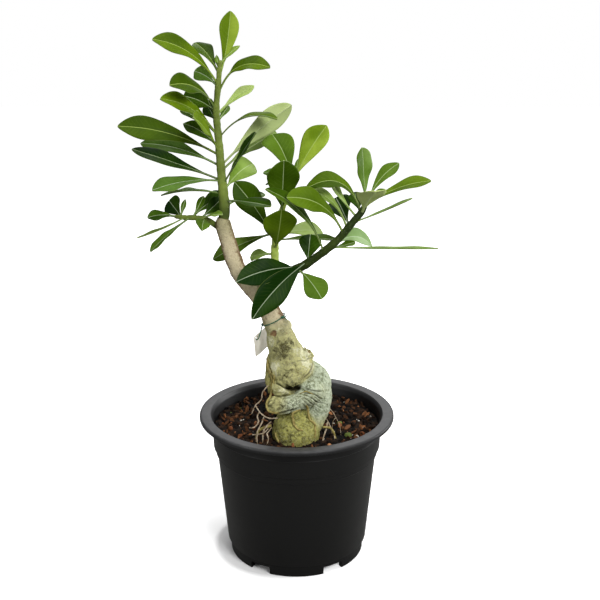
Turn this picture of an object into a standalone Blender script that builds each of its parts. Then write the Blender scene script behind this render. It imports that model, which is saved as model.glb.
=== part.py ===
"""Desert rose in its nursery pot.

Everything hangs under one empty that stands on the pot's axis at ground level, and all sizes
below are millimetres in that empty's frame: +X right, +Y back, +Z up. The world's origin is the
middle of the whole plant's footprint, so the empty stands at POT_AXIS.
"""
import math

import bmesh
import bpy
from mathutils import Euler, Matrix, Vector, noise

MM = 0.001
GAP = 0.35                       # clearance kept between two pieces that touch
LEAF_GAP = 0.5                   # clearance between a stem's skin and a leaf's stalk
POT_AXIS = (12.6, 0.0)           # pot axis seen from the middle of the footprint

# Pot
POT_HEIGHT = 115.3
RIM_RADIUS = 76.0                # outside of the rolled rim
RIM_INNER = 67.3                 # inside edge of the rim's flat top
LIP_DROP = 2.9                   # how far the rim's edge turns down
COLLAR_RADIUS = 66.6             # under the rim
COLLAR_FOOT = (65.5, 89.2)       # radius and height where the collar starts
STEP_FOOT = (63.6, 83.4)         # radius and height of the small step below the collar
LEDGE = (55.6, 10.4)             # lowest point of the tapered wall
FOOT_RADIUS = 53.6
FOOT_WALL = 4.2
FOOT_HEIGHT = 9.0                # underside of the floor
NOTCH_HEIGHT = 6.0
FLOOR = 2.0
WALL = 1.4
NOTCH_ANGLE = 19.5               # gap between two feet, degrees
NOTCH_TURNS = (32, 90, 148, 212, 270, 328)      # middle of each gap, degrees round from the front
DRAINS = 6
DRAIN_RADIUS = 4.0
DRAIN_CIRCLE = 36.0
DRAIN_SIDES = 12
EDGE = 0.8                       # small edges between the wall's bands
RIM_EDGE = 1.0                   # rounding of the rim's outer edge
LIP_WALL = 0.9                   # plastic above the turned-down lip's hollow
FOOT_DRAFT = 0.3
BAND_DRAFT = 0.5
RIM_FILLET = (1.6, 0.7)          # across and down, where the flat top turns into the inside
POT_SIDES = 48

# Soil
SOIL_TOP = 105.0
SOIL_RADIUS = 64.0               # at the surface
SOIL_BUMP = 1.1
SOIL_GAP = 0.7                   # to the pot: more than GAP, because their facets differ
SOCKET_GAP = 0.9                 # the soil's hollow is this much wider than the bulb

# Grown forms of the caudex: centre and radii of each swelling
BULB = ((-0.5, -25.0, 108.0), (18.2, 20.0, 21.0))
SWELLINGS = [
    BULB,
    ((-4.5, -15.0, 156.5), (17.4, 15.5, 12.5)),     # the big drop under the neck
    ((-11.5, -25.0, 144.5), (8.5, 8.0, 6.6)),       # small lobe below it, on the left
    ((-1.0, -17.0, 135.0), (15.0, 13.0, 18.0)),     # the core behind the arm
]
# Grown limbs: points with a radius each
NECK = [(-5, -13, 160, 15.0), (-9.3, -11, 170.6, 12.4), (-11.7, -10, 178, 11.2), (-13.6, -9, 185, 9.6),
        (-16.6, -8, 191, 8.6), (-20.3, -6, 199, 7.8), (-27, -5, 208.5, 7.0)]
LEFT_LIMB = [(-20.5, -6, 199, 7.4), (-27, -5, 208.5, 7.0), (-36, -3, 219, 6.7), (-43, -2, 228, 6.5),
             (-47.5, -1, 239, 6.3), (-51, 1, 251, 6.1), (-54.5, 2, 264, 5.9)]
RIGHT_LIMB = [(-24, -5.5, 206, 6.6), (-19, -6, 213.5, 5.6), (-13.4, -8, 221, 5.0),
              (-6.5, -9.6, 228.5, 4.7)]
SHOULDER_LIMB = [(2, -10, 157, 6.5), (10, -10, 152.5, 8.4), (15.6, -11.5, 146, 9.8), (17, -14, 138, 9.8),
                 (16.6, -17.5, 129, 9.8), (13, -21, 119, 9.6), (8, -24, 110, 9.5)]
ARM = [(15, -19, 139, 8.6), (8, -28, 136.5, 7.8), (-2, -33.5, 134.5, 7.3), (-10, -34.5, 133.6, 7.0),
       (-16, -32.5, 133.8, 6.4)]
LEFT_ROOT = [(-19.5, -12, 166, 2.6), (-20.4, -15, 157, 3.2), (-20.2, -19, 148, 3.6), (-18.0, -24, 140, 3.6)]
CAUDEX_VOXEL = 1.3
CAUDEX_FACES = 2600              # triangles left on the caudex

# Green stems: points with a radius each
STEMS = {
    "main_stem": [(-54.3, 2.2, 266.4, 4.6), (-53.2, 3, 276, 4.3), (-55, 5, 298, 3.6), (-57, 8, 327, 3.0),
                  (-58.2, 8, 346, 2.6), (-56.6, 8, 362, 2.3), (-55.4, 8, 373, 1.9), (-54.6, 8, 381, 1.3)],
    "centre_stem": [(-14.2, -2.9, 225.8, 3.2), (-16.2, 4, 236, 3.1), (-15.8, 8, 250, 2.7),
                    (-11, 11, 272, 2.3), (-5.5, 13, 288, 2.0), (-2, 14, 298, 1.5)],
    "right_stem": [(-5.3, -10, 230.3, 4.1), (7.5, -12, 237, 3.8), (27.5, -14, 253, 3.4),
                   (40.5, -12, 267.5, 3.1), (48, -10, 276.5, 2.6), (51.5, -8.5, 286, 1.6)],
    "left_twig": [(-59.9, 3.3, 262.6, 2.4), (-66, 5, 266.0, 2.3), (-75, 7, 267.6, 2.0),
                  (-84, 9, 267.5, 1.7), (-90.5, 10, 268, 1.3)],
}

# Roots that leave the bulb above the soil
ROOTS = {
    "root_left": [(-19.8, -31, 115.5, 1.1), (-25, -32, 114.5, 1.1), (-29, -31, 111, 1.0), (-31, -31, 106, 0.8)],
    "root_right": [(20.6, -29, 113.5, 1.0), (24.5, -29, 113.5, 1.0), (27.5, -29, 111, 0.9),
                   (29.5, -30, 106, 0.8)],
}

# Tag and its tie
TAG_SIZE = (20.0, 0.6, 17.0)
TAG_CENTRE = (-27.0, -2.7, 173.4)
TAG_TURN = (0.0, -8.0, 63.5)     # degrees about X, Y and Z
TAG_HOLE = (-7.5, 6.0)           # across and up from the card's middle
TAG_HOLE_RADIUS = 1.2
WIRE_RADIUS = 0.45
TIE_CENTRE = (-17.4, -8.0, 192.6)
TIE_AXIS = (-0.44, 0.05, 0.9)
TIE_RADIUS = 9.8
TIE_SPAN = (-190, 150)           # degrees round the neck
TAIL_SPAN = (-2.0, 1.5)          # through the tag's hole, from front to back

# Leaves: the stem each grows on, how far up that stem it sits (0 foot, 1 tip), where its tip lies from
# its base, its greatest width, how far its middle stands above the straight line, how far its upper
# side is rolled towards the front in degrees, and its outline.
LEAVES = {
    "main_leaf_01": ("main_stem", 0.93, (6, 3, 43), 15, -1, 90, "oblong"),
    "main_leaf_02": ("main_stem", 0.87, (-42, -8, 30), 17, 7, 45, "oblong"),
    "main_leaf_03": ("main_stem", 0.93, (-18, 26, 20), 14, 3, 10, "oblong"),
    "main_leaf_04": ("main_stem", 0.82, (35, -5, 17), 16, 10, 35, "spoon"),
    "main_leaf_05": ("main_stem", 0.72, (-27, -24, 17), 18, 7, 45, "oblong"),
    "main_leaf_06": ("main_stem", 0.70, (-24, 24, 8), 21, 2, 60, "round"),
    "main_leaf_07": ("main_stem", 0.56, (-35, -18, 26), 16, 6, 45, "oblong"),
    "main_leaf_08": ("main_stem", 0.48, (-25, 18, 14), 12, 3, 40, "slim"),
    "main_leaf_09": ("main_stem", 0.45, (-13, -32, 27), 19, 3, 60, "oblong"),
    "main_leaf_10": ("main_stem", 0.68, (24, 22, 18), 9, 2, 30, "oblong"),
    "main_leaf_11": ("main_stem", 0.54, (40, -12, 13), 14, 8, 10, "spoon"),
    "main_leaf_12": ("main_stem", 0.37, (48, 8, 41), 17, 2, -85, "round"),
    "main_leaf_13": ("main_stem", 0.33, (37, 38, 22), 16, 3, -70, "oblong"),
    "main_leaf_14": ("main_stem", 0.25, (23, -18, 38), 13, 1, 50, "oblong"),
    "main_leaf_15": ("main_stem", 0.43, (-68, -10, 21), 20, 5, 50, "oblong"),
    "main_leaf_16": ("main_stem", 0.36, (-58, 21, 13), 18, 4, 30, "oblong"),
    "main_leaf_17": ("main_stem", 0.27, (-61, 0, 22), 16, 1, 30, "oblong"),
    "main_leaf_18": ("main_stem", 0.26, (-44, -24, -3), 17, 3, 25, "oblong"),
    "main_leaf_19": ("main_stem", 0.18, (-43, 8, -3), 12, 3, 0, "slim"),
    "main_leaf_20": ("main_stem", 0.13, (32, -28, 1), 14, 1, 20, "oblong"),
    "main_leaf_21": ("main_stem", 0.10, (25, 27, 3), 14, 3, 20, "oblong"),
    "main_leaf_22": ("main_stem", 0.20, (18, 38, 13), 19, 3, 40, "round"),
    "twig_leaf_01": ("left_twig", 0.97, (-21, -4, 1), 10, 2, 40, "oblong"),
    "twig_leaf_02": ("left_twig", 0.88, (-12, 22, 8), 16, 0, 50, "round"),
    "twig_leaf_03": ("left_twig", 0.80, (-34, -8, -13), 10, -1, -30, "slim"),
    "twig_leaf_04": ("left_twig", 0.66, (-28, -12, -23), 11, 1, 10, "oblong"),
    "twig_leaf_05": ("left_twig", 0.62, (23, 24, 13), 13, 2, 50, "oblong"),
    "centre_leaf_01": ("centre_stem", 0.97, (-14, 17, 30), 27, 3, 10, "fan"),
    "centre_leaf_02": ("centre_stem", 0.94, (24, 12, 41), 20, 2, 40, "oblong"),
    "centre_leaf_03": ("centre_stem", 0.62, (2, -16, 42), 24, 0, 180, "round"),
    "centre_leaf_04": ("centre_stem", 0.28, (5, -26, 34), 25, -2, 180, "fan"),
    "centre_leaf_05": ("centre_stem", 0.37, (-27, 2, 42), 20, 2, 70, "oblong"),
    "centre_leaf_06": ("centre_stem", 0.42, (-47, 16, -25), 17, 2, 50, "oblong"),
    "centre_leaf_07": ("centre_stem", 0.36, (44, -2, 1), 12, 1, 10, "slim"),
    "centre_leaf_08": ("centre_stem", 0.40, (33, 30, -4), 17, 3, 40, "oblong"),
    "right_leaf_01": ("right_stem", 0.62, (-39, -14, 26), 20, 8, 50, "oblong"),
    "right_leaf_02": ("right_stem", 0.38, (-40, -10, 45), 16, 7, 30, "oblong"),
    "right_leaf_03": ("right_stem", 0.87, (-38, 2, 14), 18, 13, 30, "oblong"),
    "right_leaf_04": ("right_stem", 0.70, (-8, 32, 14), 20, 1, 30, "oblong"),
    "right_leaf_05": ("right_stem", 0.97, (-2, -2, 38), 17, 0, 90, "round"),
    "right_leaf_06": ("right_stem", 0.97, (23, 18, 25), 11, 4, 30, "oblong"),
    "right_leaf_07": ("right_stem", 0.93, (44, -4, 19), 13, 4, 30, "oblong"),
    "right_leaf_08": ("right_stem", 0.86, (6, -32, 21), 21, 2, 0, "round"),
    "right_leaf_09": ("right_stem", 0.78, (37, -6, 19), 10, 0, 12, "slim"),
    "right_leaf_10": ("right_stem", 0.47, (29, 24, -5), 18, 7, 40, "oblong"),
    "right_leaf_11": ("right_stem", 0.47, (74, -6, 2), 10, 0, 12, "slim"),
    "right_leaf_12": ("right_stem", 0.08, (-42, -20, -6), 20, 3, 55, "oval"),
    "right_leaf_13": ("right_stem", 0.17, (-37, -27, -35), 21, 3, 70, "oval"),
    "right_leaf_14": ("right_stem", 0.10, (16, -20, -15), 18, 2, 30, "round"),
}
# Each outline: the stalk's share of the length, how far towards the tip the blade is widest, its fullness
OUTLINES = {"oblong": (0.06, 1.75, 0.75), "slim": (0.05, 1.5, 0.85), "round": (0.1, 1.9, 0.6),
            "oval": (0.05, 1.2, 0.8), "spoon": (0.3, 1.3, 0.65), "fan": (0.05, 2.5, 0.75)}
LEAF_THICKNESS = 0.9             # along the midrib
LEAF_EDGE = 0.4
LEAF_FOLD = 14.0                 # degrees each half stands up from the midrib
PETIOLE = 1.5                    # width of the leaf stalk
LEAF_SECTIONS = 8


def material(name, colour, roughness, metallic=0.0):
    """One Principled material."""
    made = bpy.data.materials.new(name)
    made.use_nodes = True
    shader = made.node_tree.nodes["Principled BSDF"]
    shader.inputs["Base Color"].default_value = (*colour, 1.0)
    shader.inputs["Roughness"].default_value = roughness
    shader.inputs["Metallic"].default_value = metallic
    return made


def add_object(name, data, surface, parent):
    """Put a mesh or curve into the scene under the plant's empty."""
    data.materials.append(surface)
    made = bpy.data.objects.new(name, data)
    made.parent = parent
    bpy.context.collection.objects.link(made)
    return made


def finish_mesh(name, bm, smooth_angle=35.0):
    """Turn a bmesh in millimetres into a smooth-shaded mesh in metres."""
    bmesh.ops.scale(bm, vec=(MM, MM, MM), verts=bm.verts)
    bmesh.ops.recalc_face_normals(bm, faces=bm.faces)
    mesh = bpy.data.meshes.new(name)
    bm.to_mesh(mesh)
    bm.free()
    mesh.shade_smooth()
    mesh.set_sharp_from_angle(angle=math.radians(smooth_angle))
    return mesh


def smooth_route(points, step):
    """Catmull-Rom points about `step` apart through a hand-placed route; each point is (x, y, z, radius)."""
    rows = [Vector(p) for p in points]
    rows = [2 * rows[0] - rows[1]] + rows + [2 * rows[-1] - rows[-2]]
    route = []
    for a, b, c, d in zip(rows, rows[1:], rows[2:], rows[3:]):
        count = max(1, round((c.xyz - b.xyz).length / step))
        for i in range(count):
            t = i / count
            route.append(0.5 * (2 * b + (c - a) * t + (2 * a - 5 * b + 4 * c - d) * t ** 2
                                + (3 * b - a - 3 * c + d) * t ** 3))
    route.append(rows[-2])
    return route


def tube_curve(name, points, step, sides_level):
    """A tapered round curve with closed ends; its bevel radius is 1 mm times each point's radius."""
    curve = bpy.data.curves.new(name, "CURVE")
    curve.dimensions = "3D"
    curve.bevel_depth = MM
    curve.bevel_resolution = sides_level
    curve.use_fill_caps = True
    curve.render_resolution_u = 0
    route = smooth_route(points, step)
    spline = curve.splines.new("POLY")
    spline.points.add(len(route) - 1)
    for point, row in zip(spline.points, route):
        point.co = (row.x * MM, row.y * MM, row.z * MM, 1.0)
        point.radius = row.w
    return curve


def spun(name, profile, sides, smooth_angle=30.0):
    """Turn a closed profile of (radius, height) points about Z; points on the axis close it."""
    bm = bmesh.new()
    verts = [bm.verts.new((r, 0.0, z)) for r, z in profile]
    edges = [bm.edges.new(pair) for pair in zip(verts, verts[1:])]
    if profile[0][0] > 0 and profile[-1][0] > 0:
        edges.append(bm.edges.new((verts[-1], verts[0])))
    bmesh.ops.spin(bm, geom=verts + edges, cent=(0, 0, 0), axis=(0, 0, 1), angle=2 * math.pi,
                   steps=sides, use_merge=True)
    bmesh.ops.remove_doubles(bm, verts=bm.verts, dist=0.001)
    return finish_mesh(name, bm, smooth_angle)


def cut(target, cutter):
    """Boolean difference with a hidden cutter."""
    cutter.hide_render = True
    cutter.display_type = "WIRE"
    step = target.modifiers.new(cutter.name, "BOOLEAN")
    step.operation = "DIFFERENCE"
    step.solver = "EXACT"
    step.object = cutter


def inner_wall():
    """The pot's inside from the rim's fillet down to the floor, as (radius, height)."""
    return [
        (COLLAR_RADIUS - WALL, POT_HEIGHT - 2.6),
        (COLLAR_FOOT[0] - WALL, COLLAR_FOOT[1] + 1.0),
        (STEP_FOOT[0] + 0.1 - WALL, COLLAR_FOOT[1] - 0.6),
        (STEP_FOOT[0] - 0.8 - WALL, STEP_FOOT[1]),
        (LEDGE[0] + 0.2 - WALL, FOOT_HEIGHT + FLOOR + 1.5),
        (LEDGE[0] - 1.2 - WALL, FOOT_HEIGHT + FLOOR),
    ]


def build_pot(parent):
    """Thin-walled turned pot on six feet, with a drain hole behind each notch."""
    step_r, step_z = STEP_FOOT
    collar_r, collar_z = COLLAR_FOOT
    ledge_r, ledge_z = LEDGE
    foot_inner = FOOT_RADIUS - FOOT_WALL
    lip_z = POT_HEIGHT - LIP_DROP
    lip_inner = RIM_RADIUS - WALL
    fillet_in, fillet_down = RIM_FILLET
    profile = [
        (0, FOOT_HEIGHT),
        (foot_inner, FOOT_HEIGHT),
        (foot_inner, 0),
        (FOOT_RADIUS - FOOT_DRAFT, 0),
        (FOOT_RADIUS, ledge_z - EDGE),
        (ledge_r - EDGE / 2, ledge_z - EDGE),
        (ledge_r, ledge_z),
        (step_r - EDGE, step_z),
        (step_r, step_z + EDGE),
        (step_r + BAND_DRAFT, collar_z - EDGE),
        (collar_r, collar_z),
        (COLLAR_RADIUS, lip_z - BAND_DRAFT),
        (COLLAR_RADIUS + RIM_EDGE, lip_z + LIP_WALL),
        (lip_inner, lip_z + LIP_WALL),
        (lip_inner, lip_z),
        (RIM_RADIUS - FOOT_DRAFT, lip_z),
        (RIM_RADIUS, lip_z + BAND_DRAFT),
        (RIM_RADIUS, POT_HEIGHT - RIM_EDGE),
        (RIM_RADIUS - RIM_EDGE, POT_HEIGHT),
        (RIM_INNER, POT_HEIGHT),
        (RIM_INNER - fillet_in, POT_HEIGHT - fillet_down),
        *inner_wall(),
        (0, FOOT_HEIGHT + FLOOR),
    ]
    plastic = material("pot_plastic", (0.012, 0.012, 0.013), 0.4)
    pot = add_object("pot", spun("pot", profile, POT_SIDES), plastic, parent)
    bm = bmesh.new()
    half = math.radians(NOTCH_ANGLE / 2)
    inner, outer = FOOT_RADIUS - FOOT_WALL - 5, FOOT_RADIUS + 6
    for turn in NOTCH_TURNS:
        middle = math.radians(turn - 90)
        plan = [(inner, middle - half), (outer, middle - half), (outer, middle + half), (inner, middle + half)]
        face = bm.faces.new([bm.verts.new((r * math.cos(a), r * math.sin(a), -3)) for r, a in plan])
        grown = bmesh.ops.extrude_face_region(bm, geom=[face])["geom"]
        lid = [v for v in grown if isinstance(v, bmesh.types.BMVert)]
        bmesh.ops.translate(bm, vec=(0, 0, 3 + NOTCH_HEIGHT), verts=lid)
    cut(pot, add_object("notch_cutter", finish_mesh("notch_cutter", bm), plastic, parent))
    bm = bmesh.new()
    for i in range(DRAINS):
        middle = math.radians(-90 + (i + 0.5) * 360 / DRAINS)
        x, y = DRAIN_CIRCLE * math.cos(middle), DRAIN_CIRCLE * math.sin(middle)
        place = Matrix.Translation((x, y, FOOT_HEIGHT + FLOOR / 2))
        bmesh.ops.create_cone(bm, cap_ends=True, segments=DRAIN_SIDES, radius1=DRAIN_RADIUS,
                              radius2=DRAIN_RADIUS, depth=3 * FLOOR, matrix=place)
    cut(pot, add_object("drain_cutter", finish_mesh("drain_cutter", bm), plastic, parent))
    return pot


def soil_height(x, y):
    """Gentle unevenness of the soil's surface."""
    return SOIL_TOP + SOIL_BUMP * noise.noise(Vector((x, y, 0)) * 0.13)


def build_soil(parent):
    """The root ball of potting mix: fills the pot to 10 mm below the rim and holds the bulb in a hollow."""
    sides, rings = 32, 6
    turn = [2 * math.pi * k / sides for k in range(sides)]
    bm = bmesh.new()
    levels = []
    for i in range(1, rings + 1):
        r = SOIL_RADIUS * i / rings
        plan = [(r * math.cos(a), r * math.sin(a)) for a in turn]
        levels.append([bm.verts.new((x, y, soil_height(x, y))) for x, y in plan])
    for wall_r, wall_z in inner_wall()[1:]:
        r = wall_r - SOIL_GAP
        z = wall_z + SOIL_GAP if wall_z < STEP_FOOT[1] - EDGE else wall_z
        levels.append([bm.verts.new((r * math.cos(a), r * math.sin(a), z)) for a in turn])
    centre = bm.verts.new((0, 0, SOIL_TOP))
    bottom = bm.verts.new((0, 0, FOOT_HEIGHT + FLOOR + SOIL_GAP))
    for k in range(sides):
        n = (k + 1) % sides
        bm.faces.new((centre, levels[0][k], levels[0][n]))
        bm.faces.new((bottom, levels[-1][n], levels[-1][k]))
        for low, high in zip(levels, levels[1:]):
            bm.faces.new((low[k], high[k], high[n], low[n]))
    mix = material("potting_mix", (0.035, 0.02, 0.012), 0.95)
    soil = add_object("soil", finish_mesh("soil", bm), mix, parent)
    middle, radii = BULB
    size = [r + SOCKET_GAP for r in radii]
    bm = bmesh.new()
    place = Matrix.Translation(middle) @ Matrix.Diagonal((*size, 1.0))
    bmesh.ops.create_uvsphere(bm, u_segments=20, v_segments=12, radius=1.0, matrix=place)
    cut(soil, add_object("bulb_hollow", finish_mesh("bulb_hollow", bm), mix, parent))
    return soil


def build_caudex(parent):
    """The swollen trunk with its woody limbs, grown into one body."""
    bm = bmesh.new()
    for centre, radii in SWELLINGS:
        place = Matrix.Translation(centre) @ Matrix.Diagonal((*radii, 1.0))
        bmesh.ops.create_uvsphere(bm, u_segments=32, v_segments=18, radius=1.0, matrix=place)
    bmesh.ops.scale(bm, vec=(MM, MM, MM), verts=bm.verts)
    for limb in (NECK, LEFT_LIMB, RIGHT_LIMB, SHOULDER_LIMB, ARM, LEFT_ROOT):
        curve = tube_curve("limb", limb, 3.0, 4)
        holder = bpy.data.objects.new("limb", curve)
        tube = bpy.data.meshes.new_from_object(holder)
        bm.from_mesh(tube)
        bpy.data.objects.remove(holder)
        bpy.data.meshes.remove(tube)
        bpy.data.curves.remove(curve)
    for end in (ARM[-1], SHOULDER_LIMB[0]):
        place = Matrix.Translation(Vector(end[:3]) * MM) @ Matrix.Scale(end[3] * MM, 4)
        bmesh.ops.create_uvsphere(bm, u_segments=20, v_segments=12, radius=1.0, matrix=place)
    mesh = bpy.data.meshes.new("caudex")
    bm.to_mesh(mesh)
    bm.free()
    caudex = add_object("caudex", mesh, material("caudex_bark", (0.32, 0.33, 0.17), 0.6), parent)
    remesh = caudex.modifiers.new("grown_together", "REMESH")
    remesh.mode = "VOXEL"
    remesh.voxel_size = CAUDEX_VOXEL * MM
    remesh.use_smooth_shade = True
    soften = caudex.modifiers.new("soften", "SMOOTH")
    soften.factor = 0.5
    soften.iterations = 3
    evaluated = caudex.evaluated_get(bpy.context.evaluated_depsgraph_get())
    triangles = 2 * len(evaluated.data.polygons)
    thin = caudex.modifiers.new("thin_out", "DECIMATE")
    thin.ratio = CAUDEX_FACES / triangles
    return caudex


def stem_point(stem, station):
    """Centre, direction and radius of a stem at a share of its length."""
    route = smooth_route(STEMS[stem], 1.0)
    runs = [(b.xyz - a.xyz).length for a, b in zip(route, route[1:])]
    left = station * sum(runs)
    for a, b, run in zip(route, route[1:], runs):
        if left <= run:
            break
        left -= run
    here = a.lerp(b, min(1.0, left / run))
    return here.xyz, (b.xyz - a.xyz).normalized(), here.w


def leaf_frame(stem, station, reach, arch, turn):
    """Base, control and tip of a leaf's spine, with its heading and roll."""
    centre, along, radius = stem_point(stem, station)
    reach = Vector(reach)
    out = Vector((reach.x, reach.y, 0.0))
    out = (out - along * out.dot(along)).normalized()
    heading = Vector((reach.x, reach.y, 0.0)).normalized()
    chord = reach.normalized()
    above = (Vector((0, 0, 1)) * Vector((reach.x, reach.y)).length - heading * reach.z).normalized()
    start = reach * 0.5 + above * (2 * arch)
    beside = abs(start.normalized().dot(along))     # 1 for a stalk that runs along its stem
    base = centre + out * (radius + LEAF_GAP + LEAF_THICKNESS / 2 * beside)
    sideways = chord.cross(above)
    if sideways.y > 0:
        sideways = -sideways
    return base, base + start, base + reach, above, sideways, math.radians(turn)


def leaf_mesh(name, stem, station, reach, width, arch, turn, outline):
    """A closed leaf: a thin folded blade that narrows into its stalk."""
    base, control, tip, above, front, roll = leaf_frame(stem, station, reach, arch, turn)
    stalk, shift, fullness = OUTLINES[outline]
    fold = math.radians(LEAF_FOLD)
    bm = bmesh.new()
    rings = []
    for i in range(LEAF_SECTIONS + 1):
        s = 0.5 - 0.5 * math.cos(math.pi * i / LEAF_SECTIONS)
        point = base * (1 - s) ** 2 + control * 2 * s * (1 - s) + tip * s ** 2
        along = ((control - base) * (1 - s) + (tip - control) * s).normalized()
        up = (above - along * above.dot(along)).normalized()
        side = along.cross(up)
        if side.dot(front) < 0:
            side = -side
        normal = up * math.cos(roll) + side * math.sin(roll)
        across = along.cross(normal)
        blade = max(0.0, (s - stalk) / (1 - stalk))
        half = max(PETIOLE / 2, width / 2 * max(0.0, math.sin(math.pi * blade ** shift)) ** fullness)
        if i == LEAF_SECTIONS:
            half = PETIOLE / 3
        edge = half * math.cos(fold), half * math.sin(fold)
        rings.append([bm.verts.new(point + across * x + normal * z) for x, z in (
            (-edge[0], edge[1] + LEAF_EDGE / 2), (0, LEAF_THICKNESS / 2), (edge[0], edge[1] + LEAF_EDGE / 2),
            (edge[0], edge[1] - LEAF_EDGE / 2), (0, -LEAF_THICKNESS / 2), (-edge[0], edge[1] - LEAF_EDGE / 2))])
    for low, high in zip(rings, rings[1:]):
        for k in range(6):
            n = (k + 1) % 6
            bm.faces.new((low[k], low[n], high[n], high[k]))
    for ring in (rings[0], rings[-1]):
        a, b, c, d, e, f = ring
        bm.faces.new((a, b, e, f))
        bm.faces.new((b, c, d, e))
    return finish_mesh(name, bm)


def tag_place():
    """The card's own frame: X across it, Z up it, Y through it."""
    turn = Euler([math.radians(a) for a in TAG_TURN])
    return Matrix.Translation(TAG_CENTRE) @ turn.to_matrix().to_4x4()


def build_tag(parent):
    """Small blank card with a hole near its top corner."""
    length, thickness, height = TAG_SIZE
    bm = bmesh.new()
    bmesh.ops.create_cube(bm, size=1.0, matrix=Matrix.Diagonal((length, thickness, height, 1.0)))
    card = material("tag_card", (0.85, 0.83, 0.78), 0.6)
    tag = add_object("plant_tag", finish_mesh("plant_tag", bm), card, parent)
    tag.location = Vector(TAG_CENTRE) * MM
    tag.rotation_euler = [math.radians(a) for a in TAG_TURN]
    bm = bmesh.new()
    across, up = TAG_HOLE
    place = tag_place() @ Matrix.Translation((across, 0, up)) @ Matrix.Rotation(math.pi / 2, 4, "X")
    bmesh.ops.create_cone(bm, cap_ends=True, segments=16, radius1=TAG_HOLE_RADIUS, radius2=TAG_HOLE_RADIUS,
                          depth=4, matrix=place)
    cut(tag, add_object("tag_punch", finish_mesh("tag_punch", bm), card, parent))
    return tag


def build_wire(parent):
    """Plastic-coated tie round the neck, whose free end passes through the tag's hole."""
    centre, axis = Vector(TIE_CENTRE), Vector(TIE_AXIS).normalized()
    right = (Vector((1, 0, 0)) - axis * axis.x).normalized()
    back = axis.cross(right)
    points = []
    first, last = TIE_SPAN
    for degrees in range(first, last + 1, 20):
        angle = math.radians(degrees)
        spoke = right * math.cos(angle) + back * math.sin(angle)
        points.append((*(centre + spoke * TIE_RADIUS), WIRE_RADIUS))
    across, up = TAG_HOLE
    place = tag_place()
    tail = [(*(place @ Vector((across, through, up))), WIRE_RADIUS) for through in TAIL_SPAN]
    curve = tube_curve("tag_wire", tail[::-1] + points, 2.5, 2)
    return add_object("tag_wire", curve, material("tie_green", (0.05, 0.16, 0.08), 0.45), parent)


def build():
    for old in list(bpy.data.objects):
        bpy.data.objects.remove(old)
    frame = bpy.data.objects.new("pot_axis", None)
    bpy.context.collection.objects.link(frame)
    frame.location = (POT_AXIS[0] * MM, POT_AXIS[1] * MM, 0)
    build_pot(frame)
    build_soil(frame)
    build_caudex(frame)
    green = material("stem_green", (0.16, 0.25, 0.06), 0.45)
    for name, points in STEMS.items():
        add_object(name, tube_curve(name, points, 5.0, 2), green, frame)
    pale = material("root_skin", (0.5, 0.42, 0.2), 0.7)
    for name, points in ROOTS.items():
        add_object(name, tube_curve(name, points, 3.0, 1), pale, frame)
    blade = material("leaf_green", (0.05, 0.17, 0.025), 0.35)
    for name, row in LEAVES.items():
        add_object(name, leaf_mesh(name, *row), blade, frame)
    build_tag(frame)
    build_wire(frame)


build()
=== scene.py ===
import math
import random

import bpy
import numpy as np
from mathutils import Euler, Matrix, Vector
from mathutils.bvhtree import BVHTree


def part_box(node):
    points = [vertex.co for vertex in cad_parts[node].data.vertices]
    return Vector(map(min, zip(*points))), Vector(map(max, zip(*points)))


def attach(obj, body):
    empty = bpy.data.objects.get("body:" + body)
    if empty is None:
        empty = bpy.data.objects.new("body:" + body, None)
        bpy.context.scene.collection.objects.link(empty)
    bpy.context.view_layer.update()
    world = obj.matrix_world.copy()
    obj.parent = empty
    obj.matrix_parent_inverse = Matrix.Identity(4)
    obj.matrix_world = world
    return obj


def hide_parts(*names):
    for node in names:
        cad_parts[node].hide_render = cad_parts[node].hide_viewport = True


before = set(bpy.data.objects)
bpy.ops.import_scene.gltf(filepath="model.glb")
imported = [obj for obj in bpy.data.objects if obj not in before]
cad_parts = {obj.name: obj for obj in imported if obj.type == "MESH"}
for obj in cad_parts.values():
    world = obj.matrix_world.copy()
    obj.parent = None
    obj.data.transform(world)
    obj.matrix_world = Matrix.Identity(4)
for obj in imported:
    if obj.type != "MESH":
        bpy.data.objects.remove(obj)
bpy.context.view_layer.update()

# Every size below is in millimetres, measured from the pot's axis at ground level:
# +X to the right, +Y to the back, +Z up. settle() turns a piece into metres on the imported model.
mm = 0.001
potLow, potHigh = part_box("pot")
potAxis = Vector(((potLow.x + potHigh.x) / 2, (potLow.y + potHigh.y) / 2, 0.0))


def pickOnly(piece):
    bpy.ops.object.select_all(action="DESELECT")
    piece.select_set(True)
    bpy.context.view_layer.objects.active = piece


def openMesh(piece, action="DESELECT", mode="FACE"):
    pickOnly(piece)
    bpy.ops.object.mode_set(mode="EDIT")
    bpy.ops.mesh.select_mode(type=mode)
    bpy.ops.mesh.select_all(action=action)


def closeMesh():
    bpy.ops.object.mode_set(mode="OBJECT")


def pickFaces(piece, wanted):
    # selects the faces whose centre and normal pass the test; edit mode must be closed
    for face in piece.data.polygons:
        face.select = wanted(face.center, face.normal)


def modify(piece, kind, **settings):
    pickOnly(piece)
    step = piece.modifiers.new(kind.lower(), kind)
    for name, value in settings.items():
        setattr(step, name, value)
    bpy.ops.object.modifier_apply(modifier=step.name)


def fixTransform(piece):
    pickOnly(piece)
    bpy.ops.object.transform_apply(location=True, rotation=True, scale=True)


def joinAll(parts, name):
    pickOnly(parts[0])
    for part in parts:
        part.select_set(True)
    if len(parts) > 1:
        bpy.ops.object.join()
    joined = bpy.context.view_layer.objects.active
    joined.name = name
    return joined


def outwards(piece, merge=0.01):
    openMesh(piece, "SELECT")
    bpy.ops.mesh.remove_doubles(threshold=merge)
    bpy.ops.mesh.normals_make_consistent(inside=False)
    closeMesh()


def smooth(piece, angle=35):
    pickOnly(piece)
    bpy.ops.object.shade_smooth_by_angle(angle=math.radians(angle))


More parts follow.
